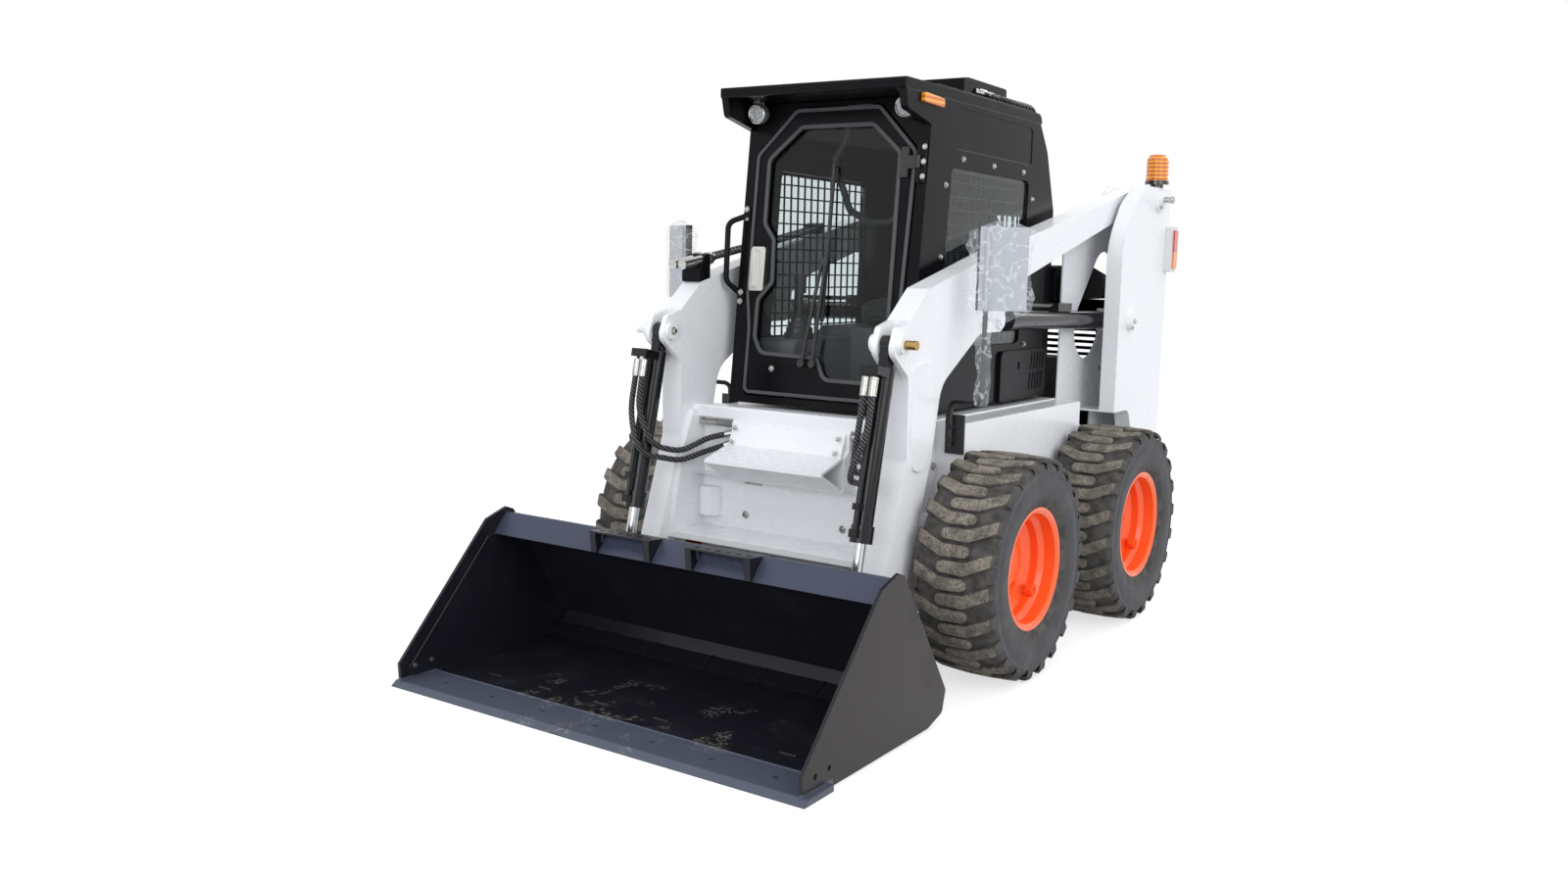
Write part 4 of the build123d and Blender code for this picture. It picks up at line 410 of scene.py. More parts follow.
def make_plastics(colours):
    """Glass, lenses and moulded plastic."""
    glass = Finish("clear_glass", (0.8, 0.85, 0.86), 0.0, transmission_weight=1.0, ior=1.25)
    glass.set("Roughness", glass.noise(5, 3).rise(0.6, 0.9) * 0.03)
    keep(glass)

    plastic = Finish("black_plastic", (0.02, 0.02, 0.021), 0.45)
    plastic.set("Roughness", 0.4 + plastic.noise(50, 3) * 0.15)
    plastic.relief(plastic.noise(420, 2), 0.0002, 0.0025)
    keep(plastic)

    latch = Finish("door_fittings", (0.02, 0.02, 0.021), 0.4)
    cast = latch.x.fall(-0.26, -0.25) * latch.z.rise(1.34, 1.35)
    latch.set("Base Color", latch.mix(cast, (0.018, 0.018, 0.02), (0.6, 0.6, 0.58)))
    latch.set("Metallic", cast)
    latch.set("Roughness", 0.4 - cast * 0.12 + latch.noise(60, 3) * 0.08)
    latch.relief(latch.noise(300, 2), 0.0002, 0.003)
    keep(latch)

    lens = Finish("amber_lens", colours.amber, 0.12, coat_weight=0.6, coat_roughness=0.04)
    band = lens.z.rise(1.874, 1.878) * lens.y.rise(1.3, 1.4)
    marker = lens.y.fall(0.5, 0.6)
    # Painted shade and highlight on the ribs: a sine darkens the amber in the grooves between ribs
    # and leaves it full on their crests.
    ribs = (lens.z * 350).sine()
    rib_shaded_amber = lens.mix(ribs.rise(-0.4, 0.9), (0.7, 0.15, 0.004), colours.amber)
    lens.set("Base Color", lens.mix(band.most(marker), (0.02, 0.02, 0.02), rib_shaded_amber))
    lens.relief(ribs * band, 0.002, 0.002)
    keep(lens)

    tail = Finish("tail_lamp", (0.7, 0.06, 0.02), 0.2, coat_weight=0.5, coat_roughness=0.05)
    face = abs(tail.x).rise(0.6645, 0.6655)
    lower = tail.z.fall(1.55, 1.552)
    lenses = tail.mix(lower, (0.62, 0.03, 0.015), (0.9, 0.25, 0.02))
    tail.set("Base Color", tail.mix(face, (0.7, 0.7, 0.7), lenses))
    tail.relief(face * (tail.z * 800).sine(), 0.0008, 0.002)
    keep(tail)

    housing = Finish("lamp_housing", (0.55, 0.56, 0.57), 0.25, metallic=0.8)
    housing.set("Roughness", 0.2 + housing.noise(60, 3) * 0.15)
    housing.relief(housing.noise(200, 2), 0.0001, 0.002)
    keep(housing)

    # The faint emission is painted light: it lifts the reflector and its diodes out of the shade
    # of the lamp's hood.
    diode = Finish("lamp_reflector", (0.86, 0.87, 0.88), 0.12, coat_weight=0.6,
                   emission_color=(1, 0.98, 0.95), emission_strength=0.03)
    facets = diode.cells(90)
    bead = facets.rise(0.1, 0.5)
    diode.set("Base Color", diode.mix(bead, (0.85, 0.85, 0.84), (0.34, 0.35, 0.37)))
    diode.relief(facets, 0.002)
    keep(diode)

    film = Finish("clear_film", (0.86, 0.89, 0.93), 0.16)
    creases = abs(film.noise(15, 2) - 0.5)
    ridges = creases.fall(0.0, 0.035)
    film.set("Alpha", 0.1 + ridges * 0.3)
    film.relief(creases, 0.008)
    keep(film)

    mirror = Finish("mirror_wrapped", (0.02, 0.02, 0.021), 0.45)
    head = abs(mirror.x).rise(0.65, 0.655) * mirror.z.rise(1.315, 1.32)
    mirror.set("Base Color", mirror.mix(head, (0.02, 0.02, 0.021), (0.42, 0.44, 0.47)))
    mirror.set("Roughness", 0.45 - head * 0.2)
    mirror.relief(mirror.noise(420, 2), 0.0002, 0.0025)
    keep(mirror)

    vinyl = Finish("seat_vinyl", (0.022, 0.022, 0.024), 0.5)
    grain = vinyl.cells(420, "SMOOTH_F1")
    wear = vinyl.noise(12, 3)
    vinyl.set("Base Color", vinyl.mix(wear, (0.018, 0.018, 0.02), (0.04, 0.04, 0.042)))
    vinyl.set("Roughness", 0.42 + grain * 0.25)
    vinyl.relief(grain, 0.0006)
    keep(vinyl)

    console = Finish("cab_interior", (0.16, 0.165, 0.18), 0.55)
    wall = console.z.fall(0.94, 0.945)
    console.set("Base Color", console.mix(wall, (0.16, 0.165, 0.18), (0.02, 0.02, 0.021)))
    console.relief(console.noise(260, 3), 0.0004, 0.004)
    keep(console)


CAD_FINISHES = {
    # finish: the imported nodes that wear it
    "body_white": ("lift_arms", "front_crossmember", "towers", "chassis_frame"),
    "cab_black": ("cab_sides", "cab_front", "cab_rear", "cab_roof", "door_frame", "cab_fittings",
                  "side_covers", "roof_unit", "window_grilles", "engine_hood", "tailgate",
                  "coupler_bracket", "axle_housings"),
    "bucket_blue_black": ("bucket_shell", "cutting_edge", "quick_attach"),
    "rim_orange": ("rim_front_left", "rim_front_right", "rim_rear_left", "rim_rear_right"),
    "tyre_rubber": ("tyre_front_left", "tyre_front_right", "tyre_rear_left", "tyre_rear_right"),
    "cylinder_gloss": ("lift_barrel_left", "lift_barrel_right", "tilt_barrel_left",
                       "tilt_barrel_right"),
    "rod_chrome": ("lift_rod_left", "lift_rod_right", "tilt_rod_left", "tilt_rod_right"),
    "hose_rubber": ("arm_hoses",),
    "plated_steel": ("arm_fittings",),
    "seal_rubber": ("door_seals",),
    "clear_glass": ("door_glass", "cab_glass"),
    "door_fittings": ("door_fittings",),
    "black_plastic": ("controls",),
    "mirror_wrapped": ("mirrors",),
    "amber_lens": ("beacon", "side_markers"),
    "tail_lamp": ("tail_lamps",),
    "lamp_housing": ("work_lamps",),
    "engine_iron": ("engine_block",),
    "seat_vinyl": ("seat",),
    "cab_interior": ("cab_floor",),
}


class LOADER_OT_finishes(bpy.types.Operator):
    """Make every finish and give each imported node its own"""

    bl_idname = "loader.finishes"
    bl_label = "Finishes"

    def execute(self, context):
        colours = context.scene.loader_colours
        make_paints(colours, context.scene.loader_sizes)
        make_rubbers(colours)
        make_metals()
        make_plastics(colours)
        for name, nodes in CAD_FINISHES.items():
            for node in nodes:
                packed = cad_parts[node]
                packed.data.materials.clear()
                packed.data.materials.append(finish(name))
        bare = set(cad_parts) - {n for nodes in CAD_FINISHES.values() for n in nodes}
        if bare:
            raise RuntimeError("no finish for " + ", ".join(sorted(bare)))
        return {"FINISHED"}


# ---------------------------------------------------------------- piece making


def settle(name, shape, body, finishes, smooth=40):
    """Turn a finished bmesh into a piece that rides on a body."""
    bmesh.ops.remove_doubles(shape, verts=shape.verts, dist=1e-6)
    bmesh.ops.recalc_face_normals(shape, faces=shape.faces)
    mesh = bpy.data.meshes.new(name)
    shape.to_mesh(mesh)
    shape.free()
    mesh.shade_smooth()
    mesh.set_sharp_from_angle(angle=radians(smooth))
    piece = bpy.data.objects.new(name, mesh)
    bpy.context.scene.collection.objects.link(piece)
    for each in finishes:
        mesh.materials.append(finish(each))
    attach(piece, body)
    return piece


def turned_to(spot, facing, roll=0.0):
    """A matrix at a spot whose own z points the way that a thing faces."""
    return (Matrix.Translation(Vector(spot))
            @ Vector(facing).normalized().to_track_quat("Z", "Y").to_matrix().to_4x4()
            @ Matrix.Rotation(roll, 4, "Z"))


def lathe(shape, profile, matrix, steps=24, material=0):
    """Spin a profile of (radius, height) rows round the matrix's own z."""
    spots = [shape.verts.new((radius, 0, height)) for radius, height in profile]
    lines = [shape.edges.new(pair) for pair in zip(spots, spots[1:])]
    before = set(shape.faces)
    bmesh.ops.spin(shape, geom=spots + lines, cent=(0, 0, 0), axis=(0, 0, 1),
                   angle=2 * pi, steps=steps, use_merge=True, use_duplicate=False)
    faces = [face for face in shape.faces if face not in before]
    points = list({v for face in faces for v in face.verts})
    bmesh.ops.remove_doubles(shape, verts=points, dist=1e-6)
    faces = [face for face in shape.faces if face not in before]
    points = list({v for face in faces for v in face.verts})
    bmesh.ops.transform(shape, matrix=matrix, verts=points)
    for face in faces:
        face.material_index = material


def bolt(shape, spot, facing, across):
    """A hexagon head with a turned crown on a round washer."""
    place = turned_to(spot, facing, hash_turn(spot))
    lathe(shape, ((0, 0), (across * 0.78, 0), (across * 0.78, across * 0.1), (0, across * 0.1)),
          place, 14)
    corner = across * 0.577
    lathe(shape, ((0, across * 0.1), (corner, across * 0.1), (corner, across * 0.5),
                  (across * 0.46, across * 0.62), (0, across * 0.62)), place, 6)


def bolt_pairs(shape, rows, across):
    """The bolts of a table, each on both hands of the machine."""
    for hand in (1, -1):
        for (x, y, z), (aside, back, up), share in rows:
            bolt(shape, at(hand * x, y, z), (hand * aside, back, up), across * share)


def hash_turn(spot):
    """A repeatable turn for a bolt, so that no two heads line up."""
    return (spot[0] * 37.1 + spot[1] * 91.7 + spot[2] * 53.3) % 1.0


def rounded_block(shape, size, edge, matrix):
    """A block whose edges are rounded, moved by a matrix."""
    made = bmesh.ops.create_cube(shape, size=1.0)
    bmesh.ops.scale(shape, vec=size, verts=made["verts"])
    lines = list({line for v in made["verts"] for line in v.link_edges})
    bmesh.ops.bevel(shape, geom=lines, offset=edge, affect="EDGES", segments=3,
                    profile=0.5, material=-1)
    bmesh.ops.transform(shape, matrix=matrix, verts=shape.verts)


def join_rings(shape, rings):
    """Faces between rows of points laid round a tube, and one at either end."""
    for low, high in zip(rings, rings[1:]):
        for n in range(len(low)):
            shape.faces.new((low[n - 1], low[n], high[n], high[n - 1]))
    shape.faces.new(reversed(rings[0]))
    shape.faces.new(rings[-1])


def run_along(shape, points, radius, gap=0.01, sides=10, ripple=0.0):
    """A round run curving through a row of points: a hose, a rod or a rippled weld bead."""
    points = [Vector(point) for point in points]
    ends = [points[0] * 2 - points[1], *points, points[-1] * 2 - points[-2]]
    path = []
    for before, here, there, after in zip(ends, ends[1:], ends[2:], ends[3:]):
        count = max(1, round((there - here).length / gap))
        for step in range(count):
            t = step / count
            path.append((here * 2 + (there - before) * t
                         + (before * 2 - here * 5 + there * 4 - after) * t * t
                         + (here * 3 - before - there * 3 + after) * t ** 3) / 2)
    path.append(points[-1])
    side = (path[1] - path[0]).orthogonal()
    rings = []
    for place, spot in enumerate(path):
        way = (path[min(place + 1, len(path) - 1)] - path[max(place - 1, 0)]).normalized()
        side = (side - way * side.dot(way)).normalized()
        wide = radius * (1 + ripple * (place % 2))
        turns = (2 * pi * n / sides for n in range(sides))
        rings.append([shape.verts.new(
            spot + (side * cos(turn) + way.cross(side) * sin(turn)) * wide) for turn in turns])
    join_rings(shape, rings)


def lug(shape, place, length, width, rise):
    """A low raised lug with sloping sides, as rolled into a tread plate."""
    rings = []
    for share, height in ((1.0, 0.0), (0.55, rise)):
        rings.append([shape.verts.new(place @ Vector((cos(turn) * length / 2 * share,
                                                      sin(turn) * width / 2 * share, height)))
                      for turn in (2 * pi * n / 8 for n in range(8))])
    for n in range(8):
        shape.faces.new((rings[0][n - 1], rings[0][n], rings[1][n], rings[1][n - 1]))
    shape.faces.new(rings[1])


# Up the cab's front from its sill: middles of the grab handle's plates, feet of the hinges.
GRAB_PLATES = (0.735, 0.412)
HINGES = (0.170, 0.845)
# The bellows at the foot of each control lever: number of folds, height of one.
FOLDS, FOLD = 6, 0.015
WINDOW_BOLTS = (
    # back from the front axle, height
    (0.223, 1.866), (0.486, 1.858), (0.759, 1.852), (0.090, 1.764), (0.856, 1.748),
    (0.070, 1.500), (0.862, 1.450), (0.055, 1.200), (0.838, 1.150),
)
# Bolts on both hands: place across, back from the front axle and up; the way the head of the
# left one faces; share of the bolt's size.
BEAM_BOLTS = (
    ((0.219, -0.270, 0.506), (0, -1, 0), 0.95), ((0.434, -0.453, 1.206), (-1, 0, 0), 1.0),
    ((0.228, -0.353, 0.797), (0, -84, 38), 0.7), ((0.228, -0.333, 0.847), (0, -84, 38), 0.7),
)
FRAME_BOLTS = (((0.438, 0.0, 0.733), (1, 0, 0), 1.0),)
TOWER_BOLTS = (
    ((0.654, 1.716, 1.752), (1, 0, 0), 0.8), ((0.6535, 1.450, 1.240), (1, 0, 0), 0.9),
    ((0.654, 1.425, 1.212), (1, 0, 0), 0.7),
)


class LOADER_OT_bolts(bpy.types.Operator):
    """Put bolt heads on the cab, door, crossmember and frame, and bellows on the levers"""

    bl_idname = "loader.bolts"
    bl_label = "Bolts"

    def execute(self, context):
        across = context.scene.loader_sizes.bolt
        cab = bmesh.new()
        for hand in (1, -1):
            for y, z in WINDOW_BOLTS:
                bolt(cab, at(hand * CAB_HALF, y, z), (hand, 0, 0), across * 0.75)
        for up in GRAB_PLATES:
            for step in (0.018, -0.018):
                bolt(cab, on_face(-0.383, up + step, 0.005), FACE_OUT, across * 0.8)
        for low in HINGES:
            for up in (0.022, 0.075, 0.128):
                bolt(cab, on_face(0.389, low + up, 0.015), FACE_OUT, across * 0.7)
        settle("cab_bolts", cab, "root", ["plated_steel"])

        panel = bmesh.new()
        bolt(panel, on_face(-0.21, 0.14, 0.0), FACE_OUT, across * 0.8)
        settle("door_bolt", panel, "door", ["plated_steel"])

        bellows = bmesh.new()
        sleeve = [(0.0, 0.0)]
        for n in range(FOLDS):
            wide = 0.05 - 0.026 * n / FOLDS
            sleeve += [(wide, FOLD * n + 0.002), (wide, FOLD * n + 0.007),
                       (wide - 0.007, FOLD * n + 0.0125)]
        tall = FOLD * FOLDS
        sleeve += [(0.0155, tall + 0.002), (0.0155, tall + 0.01), (0.0, tall + 0.01)]
        for hand in (1, -1):
            lathe(bellows, sleeve, Matrix.Translation(at(hand * 0.250, 0.120, 1.1665)), 28)
        settle("lever_bellows", bellows, "root", ["black_plastic"], 30)

        beam = bmesh.new()
        bolt_pairs(beam, BEAM_BOLTS, across)
        settle("crossmember_bolts", beam, "lift_arms", ["plated_steel"])

        frame_bolts = bmesh.new()
        bolt_pairs(frame_bolts, FRAME_BOLTS, across)
        settle("frame_bolts", frame_bolts, "root", ["plated_steel"])
        return {"FINISHED"}


class LOADER_OT_pins(bpy.types.Operator):
    """Put the turned pins and their lock bolts on the towers' bosses"""

    bl_idname = "loader.pins"
    bl_label = "Pins"

    def execute(self, context):
        across = context.scene.loader_sizes.bolt
        fixed = bmesh.new()
        for hand in (1, -1):
            place = turned_to(at(hand * 0.653, 1.750, 1.787), (hand, 0, 0))
            lathe(fixed, ((0, 0), (0.013, 0), (0.013, 0.034), (0.017, 0.035), (0.017, 0.044),
                          (0.015, 0.046), (0, 0.046)), place, 24)
        bolt_pairs(fixed, TOWER_BOLTS, across)
        settle("tower_pins", fixed, "root", ["plated_steel"])
        return {"FINISHED"}


class LOADER_OT_treads(bpy.types.Operator):
    """Roll the raised lugs of a tread plate on the step over the crossmember"""

    bl_idname = "loader.treads"
    bl_label = "Tread plate"

    def execute(self, context):
        length = context.scene.loader_sizes.tread_lug
        shape = bmesh.new()
        root, lip = at(0, -0.349, 0.7822), at(0, -0.474, 0.7431)
        up = (root - lip).cross(Vector((1, 0, 0))).normalized()
        up = up if up.z > 0 else -up
        rows, columns, pitch = 5, 17, 0.03
        for row in range(rows):
            for column in range(columns):
                aside = Vector(((column - columns // 2) * pitch, 0, 0))
                spot = root.lerp(lip, (row + 0.5) / rows) + aside
                turn = radians(45 if (row + column) % 2 else -45)
                lug(shape, turned_to(spot, up, turn), length, length * 0.3, 0.0022)
        settle("step_treads", shape, "lift_arms", ["body_white"])
        return {"FINISHED"}


class LOADER_OT_welds(bpy.types.Operator):
    """Lay the weld beads and stitches of the bucket"""

    bl_idname = "loader.welds"
    bl_label = "Welds"

    def execute(self, context):
        shape = bmesh.new()
        run_along(shape, (at(-0.815, -1.279, 0.0195), at(0.815, -1.279, 0.0195)), 0.004, 0.006,
                  6, 0.3)
        for hand in (1, -1):
            for line in (((-1.394, 0.064), (-1.031, 0.464)), ((-1.27, 0.0215), (-0.73, 0.0325))):
                bead = [at(hand * 0.817, y, z) for y, z in line]
                run_along(shape, bead, 0.0045, 0.006, 6, 0.3)
        for place, x in enumerate((-0.62, -0.38, -0.12, 0.13, 0.38, 0.62)):
            run_along(shape, (at(x - 0.03, -1.19, 0.0205), at(x + 0.03, -1.188, 0.0205)),
                      0.005, 0.006, 6, 0.3)
        for x in (-0.34, -0.08, 0.16, 0.4):
            run_along(shape, (at(x, -0.716, 0.032), at(x, -0.645, 0.061)), 0.004, 0.006, 6, 0.3)
        settle("bucket_welds", shape, "bucket", ["bucket_blue_black"], 60)
        return {"FINISHED"}


# A tyre's skin from bead to crown: radius from the axle, distance from the tyre's middle.
TYRE_SKIN = (
    (0.2087, 0.112), (0.2090, 0.122), (0.216, 0.129), (0.232, 0.134), (0.250, 0.143),
    (0.272, 0.1490), (0.300, 0.1515), (0.330, 0.1520), (0.333, 0.1508), (0.348, 0.1505),
    (0.351, 0.1518), (0.357, 0.1516), (0.362, 0.1480), (0.374, 0.1420), (0.383, 0.1280),
    (0.388, 0.0950), (0.3895, 0.0500), (0.3900, 0.0),
)
# A lug from its round inner end out over the shoulder: place across the tyre, lower and
# upper edge along the tread, radius of its top.
LUG = (
    (-0.0575, -0.0050, 0.0050, 0.4035), (-0.0550, -0.0110, 0.0110, 0.4055),
    (-0.0480, -0.0175, 0.0170, 0.4060), (-0.0370, -0.0205, 0.0200, 0.4060),
    (0.0000, -0.0220, 0.0205, 0.4060), (0.0440, -0.0235, 0.0210, 0.4060),
    (0.0530, -0.0215, 0.0245, 0.4055), (0.0950, -0.0020, 0.0440, 0.4035),
    (0.1300, 0.0150, 0.0600, 0.4015), (0.1420, 0.0205, 0.0650, 0.3985),
    (0.1490, 0.0235, 0.0670, 0.3900), (0.1515, 0.0250, 0.0670, 0.3720),
    (0.1500, 0.0270, 0.0650, 0.3590),
)
LUG_COUNT = 22
# A lug's flank widens by its draft down to its foot, and its top edges are cut in and down.
LUG_DRAFT = 0.0045
LUG_CUT = (0.003, 0.0015)
# A lug that tops the tread radius has its foot at one radius, and on the wall a depth under it.
TREAD_RADIUS, LUG_FOOT, LUG_DEPTH = 0.395, 0.384, 0.012


class LOADER_OT_tyres(bpy.types.Operator):
    """Mould each tyre's skin with its two rows of hooked lugs"""

    bl_idname = "loader.tyres"
    bl_label = "Tyres"

    def execute(self, context):
        profile = TYRE_SKIN + tuple((radius, -across) for radius, across in TYRE_SKIN[-2::-1])
        for end, y in (("front", 0.0), ("rear", WHEELBASE)):
            for name, hand in (("left", 1), ("right", -1)):
                shape = bmesh.new()
                hub = at(hand * HALF_TRACK, y, AXLE_Z)
                frame_of = Matrix.Translation(hub) @ Matrix.Rotation(pi / 2, 4, "Y")
                lathe(shape, profile, frame_of, 88)
                for row, way in ((0, -hand), (1, hand)):
                    for number in range(LUG_COUNT):
                        middle = (number + row / 2) * 2 * pi / LUG_COUNT
                        self.lug(shape, hub, way, middle)
                node = "tyre_" + end + "_" + name
                piece = settle("tyre_skin_" + end + "_" + name, shape, "wheel_" + end + "_" + name,
                               ["tyre_rubber"], 32)
                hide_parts(node)
        return {"FINISHED"}

    def lug(self, shape, hub, way, middle):
        """One lug as strips between the edges of its sections."""
        rows = []
        inset, drop = LUG_CUT
        for across, low, high, top in LUG:
            foot = LUG_FOOT if top > TREAD_RADIUS else top - LUG_DEPTH
            corners = ((low - LUG_DRAFT, foot), (low, top - drop), (low + inset, top),
                       (high - inset, top), (high, top - drop), (high + LUG_DRAFT, foot))
            row = []
            for run, radius in corners:
                turn = middle + run / TYRE_RADIUS
                spot = Vector((way * across, -radius * cos(turn), radius * sin(turn)))
                row.append(shape.verts.new(hub + spot))
            rows.append(row)
        for first, second in zip(rows, rows[1:]):
            for n in range(5):
                shape.faces.new((first[n], first[n + 1], second[n + 1], second[n]))
        shape.faces.new(rows[0])
        shape.faces.new(rows[-1])


# The film round a mirror's head, and its tail down the post.
FILM_LOW, FILM_TALL, FILM_WIDE, FILM_DEEP = 1.285, 0.34, 0.108, 0.044
TAIL_LOW, TAIL_ROWS, TAIL_STEP, TAIL_SIDES = 0.985, 30, 0.0115, 14


def film_head(hand):
    """Rows of points of the bag round one mirror's head, creased, waisted and gathered."""
    rows, columns = 46, 56
    turn = radians(27)
    along = Vector((cos(turn), sin(turn), 0))
    across = Vector((-sin(turn), cos(turn), 0))
    middle = at(0.712, -0.068, 0)
    for row in range(rows):
        share = row / (rows - 1)
        height = FILM_LOW + share * FILM_TALL
        waist = 1 - 0.12 * sin(pi * min(1, max(0, (share - 0.45) / 0.3)))
        close = min(1.0, 0.35 + share * 6) * min(1.0, 0.3 + (1 - share) * 7)
        ring = []
        for column in range(columns):
            angle = 2 * pi * column / columns
            flat = along * cos(angle) * FILM_WIDE + across * sin(angle) * FILM_DEEP
            probe = flat * 22 + Vector((hand * 3.1, 0, height * 16))
            crease = 1 + 0.24 * noise.noise(probe) + 0.14 * abs(noise.noise(probe * 2.7))
            point = middle + flat * waist * close * crease
            ring.append((hand * point.x, point.y, height + 0.012 * noise.noise(probe * 1.3)))
        yield ring


def film_tail(hand):
    """Rows of points of the film that is twisted round one mirror's post."""
    post = at(hand * 0.679, -0.107, 0)
    for row in range(TAIL_ROWS):
        height = TAIL_LOW + row * TAIL_STEP
        ring = []
        for column in range(TAIL_SIDES):
            angle = 2 * pi * column / TAIL_SIDES
            flat = Vector((cos(angle), sin(angle), 0))
            probe = flat * 1.3 + Vector((hand, 0, height * 17))
            reach = 0.024 + 0.018 * noise.noise(probe)
            ring.append(post + flat * reach + Vector((0, 0, height)))
        yield ring


class LOADER_OT_film(bpy.types.Operator):
    """Wrap both mirrors in crumpled clear film"""

    bl_idname = "loader.film"
    bl_label = "Mirror film"

    def execute(self, context):
        for name, hand in (("left", 1), ("right", -1)):
            shape = bmesh.new()
            for rows in (film_head(hand), film_tail(hand)):
                join_rings(shape, [[shape.verts.new(spot) for spot in row] for row in rows])
            settle("mirror_film_" + name, shape, "root", ["clear_film"], 25)
        return {"FINISHED"}


def swell(piece, cap):
    """Let air swell a closed skin as cloth, no point moving further than the cap."""
    start = [vertex.co.copy() for vertex in piece.data.vertices]
    skin = piece.modifiers.new("skin", "CLOTH")
    skin.settings.use_pressure = True
    skin.settings.uniform_pressure_force = 4.0
    skin.settings.effector_weights.gravity = 0.0
    skin.point_cache.frame_start, skin.point_cache.frame_end = 1, 20
    for moment in range(1, 21):
        bpy.context.scene.frame_set(moment)
    done = piece.evaluated_get(bpy.context.evaluated_depsgraph_get()).to_mesh()
    ends = [vertex.co.copy() for vertex in done.vertices]
    piece.modifiers.remove(skin)
    bpy.context.scene.frame_set(1)
    for vertex, low, high in zip(piece.data.vertices, start, ends):
        move = high - low
        vertex.co = low + move * min(1.0, cap / max(move.length, 1e-9))


# name; size across, deep and high; middle back from the front axle and above the floor; lean
# back in degrees; how far the air may swell it
CUSHIONS = (
    ("seat_base", (0.43, 0.37, 0.085), (0.695, 1.272), -4, 0.014),
    ("seat_back", (0.42, 0.075, 0.40), (0.893, 1.512), 11, 0.013),
    ("seat_head", (0.215, 0.055, 0.12), (0.932, 1.782), 8, 0.010),
)


class LOADER_OT_seat(bpy.types.Operator):
    """Stuff the seat: a base, a backrest and a headrest, each a swollen skin with piping"""

    bl_idname = "loader.seat"
    bl_label = "Seat"

    def execute(self, context):
        for name, size, middle, lean, cap in CUSHIONS:
            place = (Matrix.Translation(at(0, *middle))
                     @ Matrix.Rotation(radians(-lean), 4, "X"))
            half = Vector(size) / 2
            shape = bmesh.new()
            rounded_block(shape, Vector(size), 0.02, place)
            bmesh.ops.recalc_face_normals(shape, faces=shape.faces)
            mesh = bpy.data.meshes.new(name)
            shape.to_mesh(mesh)
            shape.free()
            piece = bpy.data.objects.new(name, mesh)
            context.scene.collection.objects.link(piece)
            mesh.remesh_voxel_size = 0.006
            context.view_layer.objects.active = piece
            bpy.ops.object.voxel_remesh()
            swell(piece, cap)
            mesh = piece.data
            seams = bmesh.new()
            seams.from_mesh(mesh)
            deep = half.y < half.z
            face, edge = (half.y, half.z) if deep else (half.z, half.y)
            for level in (-0.55, 0.55):
                rim = []
                for turn in range(33):
                    angle = 2 * pi * turn / 32
                    wide = (half.x + 0.006) * max(-1, min(1, cos(angle) * 1.25))
                    tall = (edge + 0.006) * max(-1, min(1, sin(angle) * 1.25))
                    rim.append(place @ (Vector((wide, face * level, tall)) if deep
                                        else Vector((wide, tall, face * level))))
                run_along(seams, rim, 0.004, 0.02, 6)
            seams.to_mesh(mesh)
            seams.free()
            mesh.materials.append(finish("seat_vinyl"))
            mesh.shade_smooth()
            finer = piece.modifiers.new("finer", "SUBSURF")
            finer.levels = finer.render_levels = 1
            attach(piece, "root")
        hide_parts("seat")
        return {"FINISHED"}


class LOADER_OT_hoses(bpy.types.Operator):
    """Lead the short held hoses over the roof"""

    bl_idname = "loader.hoses"
    bl_label = "Hoses"

    def execute(self, context):
        shape = bmesh.new()
        for shift in (0.0, 0.03):
            points = (at(0.298, 0.50 + shift, 2.150), at(0.338, 0.57 + shift, 2.139),
                      at(0.352 + shift * 0.7, 0.68, 2.126), at(0.352 + shift * 0.7, 0.86, 2.122),
                      at(0.352 + shift * 0.7, 0.912, 2.098))
            run_along(shape, points, 0.0095, 0.012, 12)
            way = points[1] - points[0]
            lathe(shape, ((0, 0), (0.013, 0), (0.013, 0.016), (0.016, 0.017), (0.016, 0.034),
                          (0.012, 0.036), (0.012, 0.07), (0, 0.07)),
                  turned_to(points[0], way), 12, 1)
        settle("roof_hoses", shape, "root", ["hose_rubber", "plated_steel"])
        return {"FINISHED"}


class LOADER_OT_lamps(bpy.types.Operator):
    """Fill the work lamps with a reflector of small diodes behind a rim"""

    bl_idname = "loader.lamps"
    bl_label = "Work lamps"

    def execute(self, context):
        shape = bmesh.new()
        facing = Vector((0, -1, -0.1)).normalized()
        for hand in (1, -1):
            middle = at(hand * 0.324, -0.098, 2.031) + facing * 0.0005
            place = turned_to(middle, facing)
            lathe(shape, ((0.0375, 0), (0.0375, 0.004), (0.034, 0.006), (0.031, 0.003),
                          (0.031, 0.0)), place, 32, 1)
            lathe(shape, ((0, 0.0015), (0.031, 0.001)), place, 32, 0)
            spots = [(0, 0)]
            for count, ring in ((6, 0.0125), (12, 0.0235)):
                spots += [(cos(2 * pi * k / count) * ring, sin(2 * pi * k / count) * ring)
                          for k in range(count)]
            for across, up in spots:
                lathe(shape, ((0.0048, 0.0014), (0.0042, 0.0042), (0.002, 0.0056), (0, 0.006)),
                      place @ Matrix.Translation((across, up, 0)), 10, 0)
        settle("lamp_faces", shape, "root", ["lamp_reflector", "plated_steel"])
        return {"FINISHED"}


# name, place, size across, power
LIGHTS = (
    ("key_light", (-3.5, -5.5, 6.0), 5.0, 30),
    ("front_light", (1.5, -8.5, 1.6), 5.0, 190),
    ("fill_light", (6.5, -2.5, 4.0), 5.0, 150),
    ("back_light", (1.0, 6.5, 5.5), 5.0, 160),
)
LIT_PLACE = Vector((0, 0, 0.9))
CAMERA_PLACE = (2.7427, -4.5906, 1.4805)
CAMERA_LENS = 30.64
# Round from the machine's front, up from the floor, and rolled, in degrees.
CAMERA_TURNS = (34.36, 7.75, 1.238)


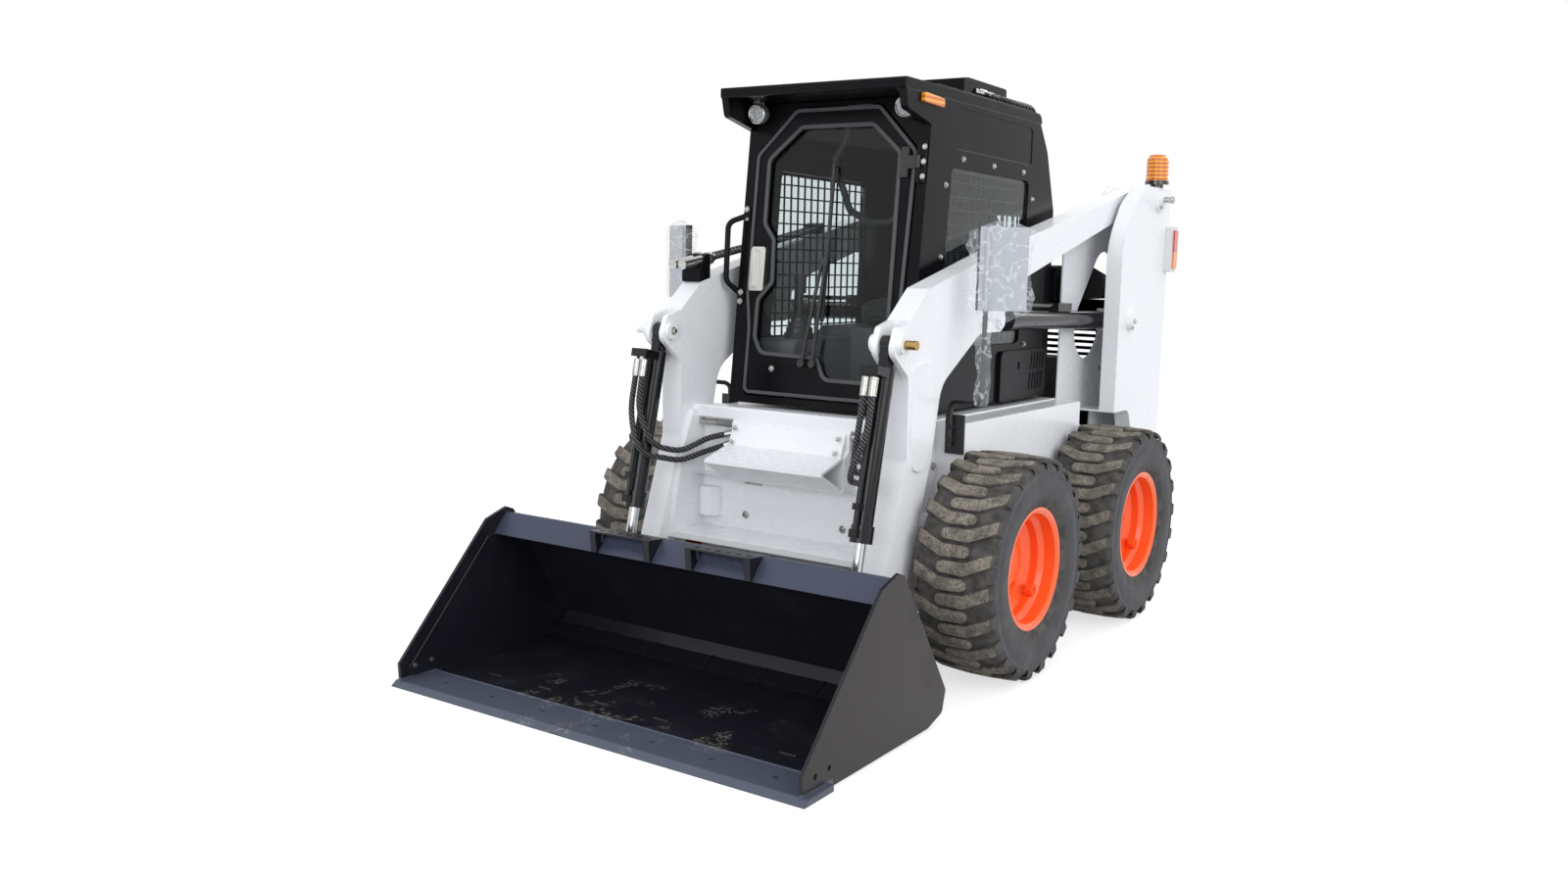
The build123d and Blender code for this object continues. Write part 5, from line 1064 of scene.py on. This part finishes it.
def stage_material(name, colour, seen):
    """A pale matt stage that the camera, gloss and glass see as white."""
    material = bpy.data.materials.new(name)
    material.use_nodes = True
    material.node_tree.nodes.clear()
    stage = Nodes(material.node_tree)
    paint = stage.node("ShaderNodeBsdfDiffuse", None, {"Color": colour})
    bright = stage.rays("Camera", "Glossy", "Transmission") * seen
    glow = stage.node("ShaderNodeEmission", None, {"Strength": bright})
    both = stage.node("ShaderNodeAddShader", None, {0: paint, 1: glow})
    stage.node("ShaderNodeOutputMaterial", None, {"Surface": both})
    return material


def lay_floor(scene):
    """A wide flat floor just under the tyres."""
    ground = bmesh.new()
    bmesh.ops.create_grid(ground, x_segments=1, y_segments=1, size=30.0)
    bmesh.ops.translate(ground, vec=(0, 0, -0.0005), verts=ground.verts)
    mesh = bpy.data.meshes.new("floor")
    ground.to_mesh(mesh)
    ground.free()
    floor = bpy.data.objects.new("floor", mesh)
    scene.collection.objects.link(floor)
    mesh.materials.append(stage_material("floor_pale", (0.5, 0.5, 0.51), 0.66))


def light_studio(scene):
    """A soft world that the camera, glass and gloss see as white, and the lamps."""
    world = bpy.data.worlds.new("studio")
    scene.world = world
    world.use_nodes = True
    world.node_tree.nodes.clear()
    sky = Nodes(world.node_tree)
    soft = sky.node("ShaderNodeBackground", None, {"Color": (0.93, 0.96, 1.0), "Strength": 0.98})
    white = sky.node("ShaderNodeBackground", None, {"Color": (1, 1, 1), "Strength": 1.0})
    seen = sky.rays("Camera", "Transmission", "Glossy")
    either = sky.node("ShaderNodeMixShader", None, {0: seen, 1: soft, 2: white})
    sky.node("ShaderNodeOutputWorld", None, {"Surface": either})
    for name, place, size, power in LIGHTS:
        lamp = bpy.data.lights.new(name, "AREA")
        lamp.size = size
        lamp.energy = power
        light = bpy.data.objects.new(name, lamp)
        light.location = place
        light.rotation_mode = "QUATERNION"
        light.rotation_quaternion = (LIT_PLACE - Vector(place)).to_track_quat("-Z", "Y")
        scene.collection.objects.link(light)


def set_camera(scene):
    """A camera at standing height, off the machine's front left corner."""
    eye = bpy.data.cameras.new("camera")
    eye.lens = CAMERA_LENS
    eye.sensor_width = 36
    eye.clip_end = 200
    camera = bpy.data.objects.new("camera", eye)
    azimuth, height, tilt = (radians(turn) for turn in CAMERA_TURNS)
    back = Vector((sin(azimuth) * cos(height), -cos(azimuth) * cos(height), sin(height)))
    right = (-back).cross(Vector((0, 0, 1))).normalized()
    upward = right.cross(-back)
    level = Matrix((right * cos(tilt) + upward * sin(tilt),
                    upward * cos(tilt) - right * sin(tilt), back)).transposed()
    camera.rotation_mode = "QUATERNION"
    camera.rotation_quaternion = level.to_quaternion()
    camera.location = CAMERA_PLACE
    scene.collection.objects.link(camera)
    scene.camera = camera


class LOADER_OT_stage(bpy.types.Operator):
    """Lay the floor, set the soft lights and the camera"""

    bl_idname = "loader.stage"
    bl_label = "Stage"

    def execute(self, context):
        scene = context.scene
        scene.view_settings.view_transform = "Standard"
        lay_floor(scene)
        light_studio(scene)
        set_camera(scene)
        return {"FINISHED"}


STEPS = (LOADER_OT_finishes, LOADER_OT_bolts, LOADER_OT_pins, LOADER_OT_treads, LOADER_OT_welds,
         LOADER_OT_tyres, LOADER_OT_film, LOADER_OT_seat, LOADER_OT_hoses, LOADER_OT_lamps,
         LOADER_OT_stage)


class LOADER_PT_panel(bpy.types.Panel):
    """The dressing steps and their settings"""

    bl_idname = "LOADER_PT_panel"
    bl_label = "Loader"
    bl_space_type = "VIEW_3D"
    bl_region_type = "UI"
    bl_category = "Loader"

    def draw(self, context):
        for group in (context.scene.loader_colours, context.scene.loader_sizes):
            for name in group.__annotations__:
                self.layout.prop(group, name)
        for step in STEPS:
            self.layout.operator(step.bl_idname)


CLASSES = (LoaderColours, LoaderSizes, *STEPS, LOADER_PT_panel)


def register():
    for each in CLASSES:
        bpy.utils.register_class(each)
    bpy.types.Scene.loader_colours = bpy.props.PointerProperty(type=LoaderColours)
    bpy.types.Scene.loader_sizes = bpy.props.PointerProperty(type=LoaderSizes)


def unregister():
    del bpy.types.Scene.loader_sizes
    del bpy.types.Scene.loader_colours
    for each in reversed(CLASSES):
        bpy.utils.unregister_class(each)


def main():
    register()
    for step in STEPS:
        group, name = step.bl_idname.split(".")
        getattr(getattr(bpy.ops, group), name)()


if __name__ == "__main__":
    main()
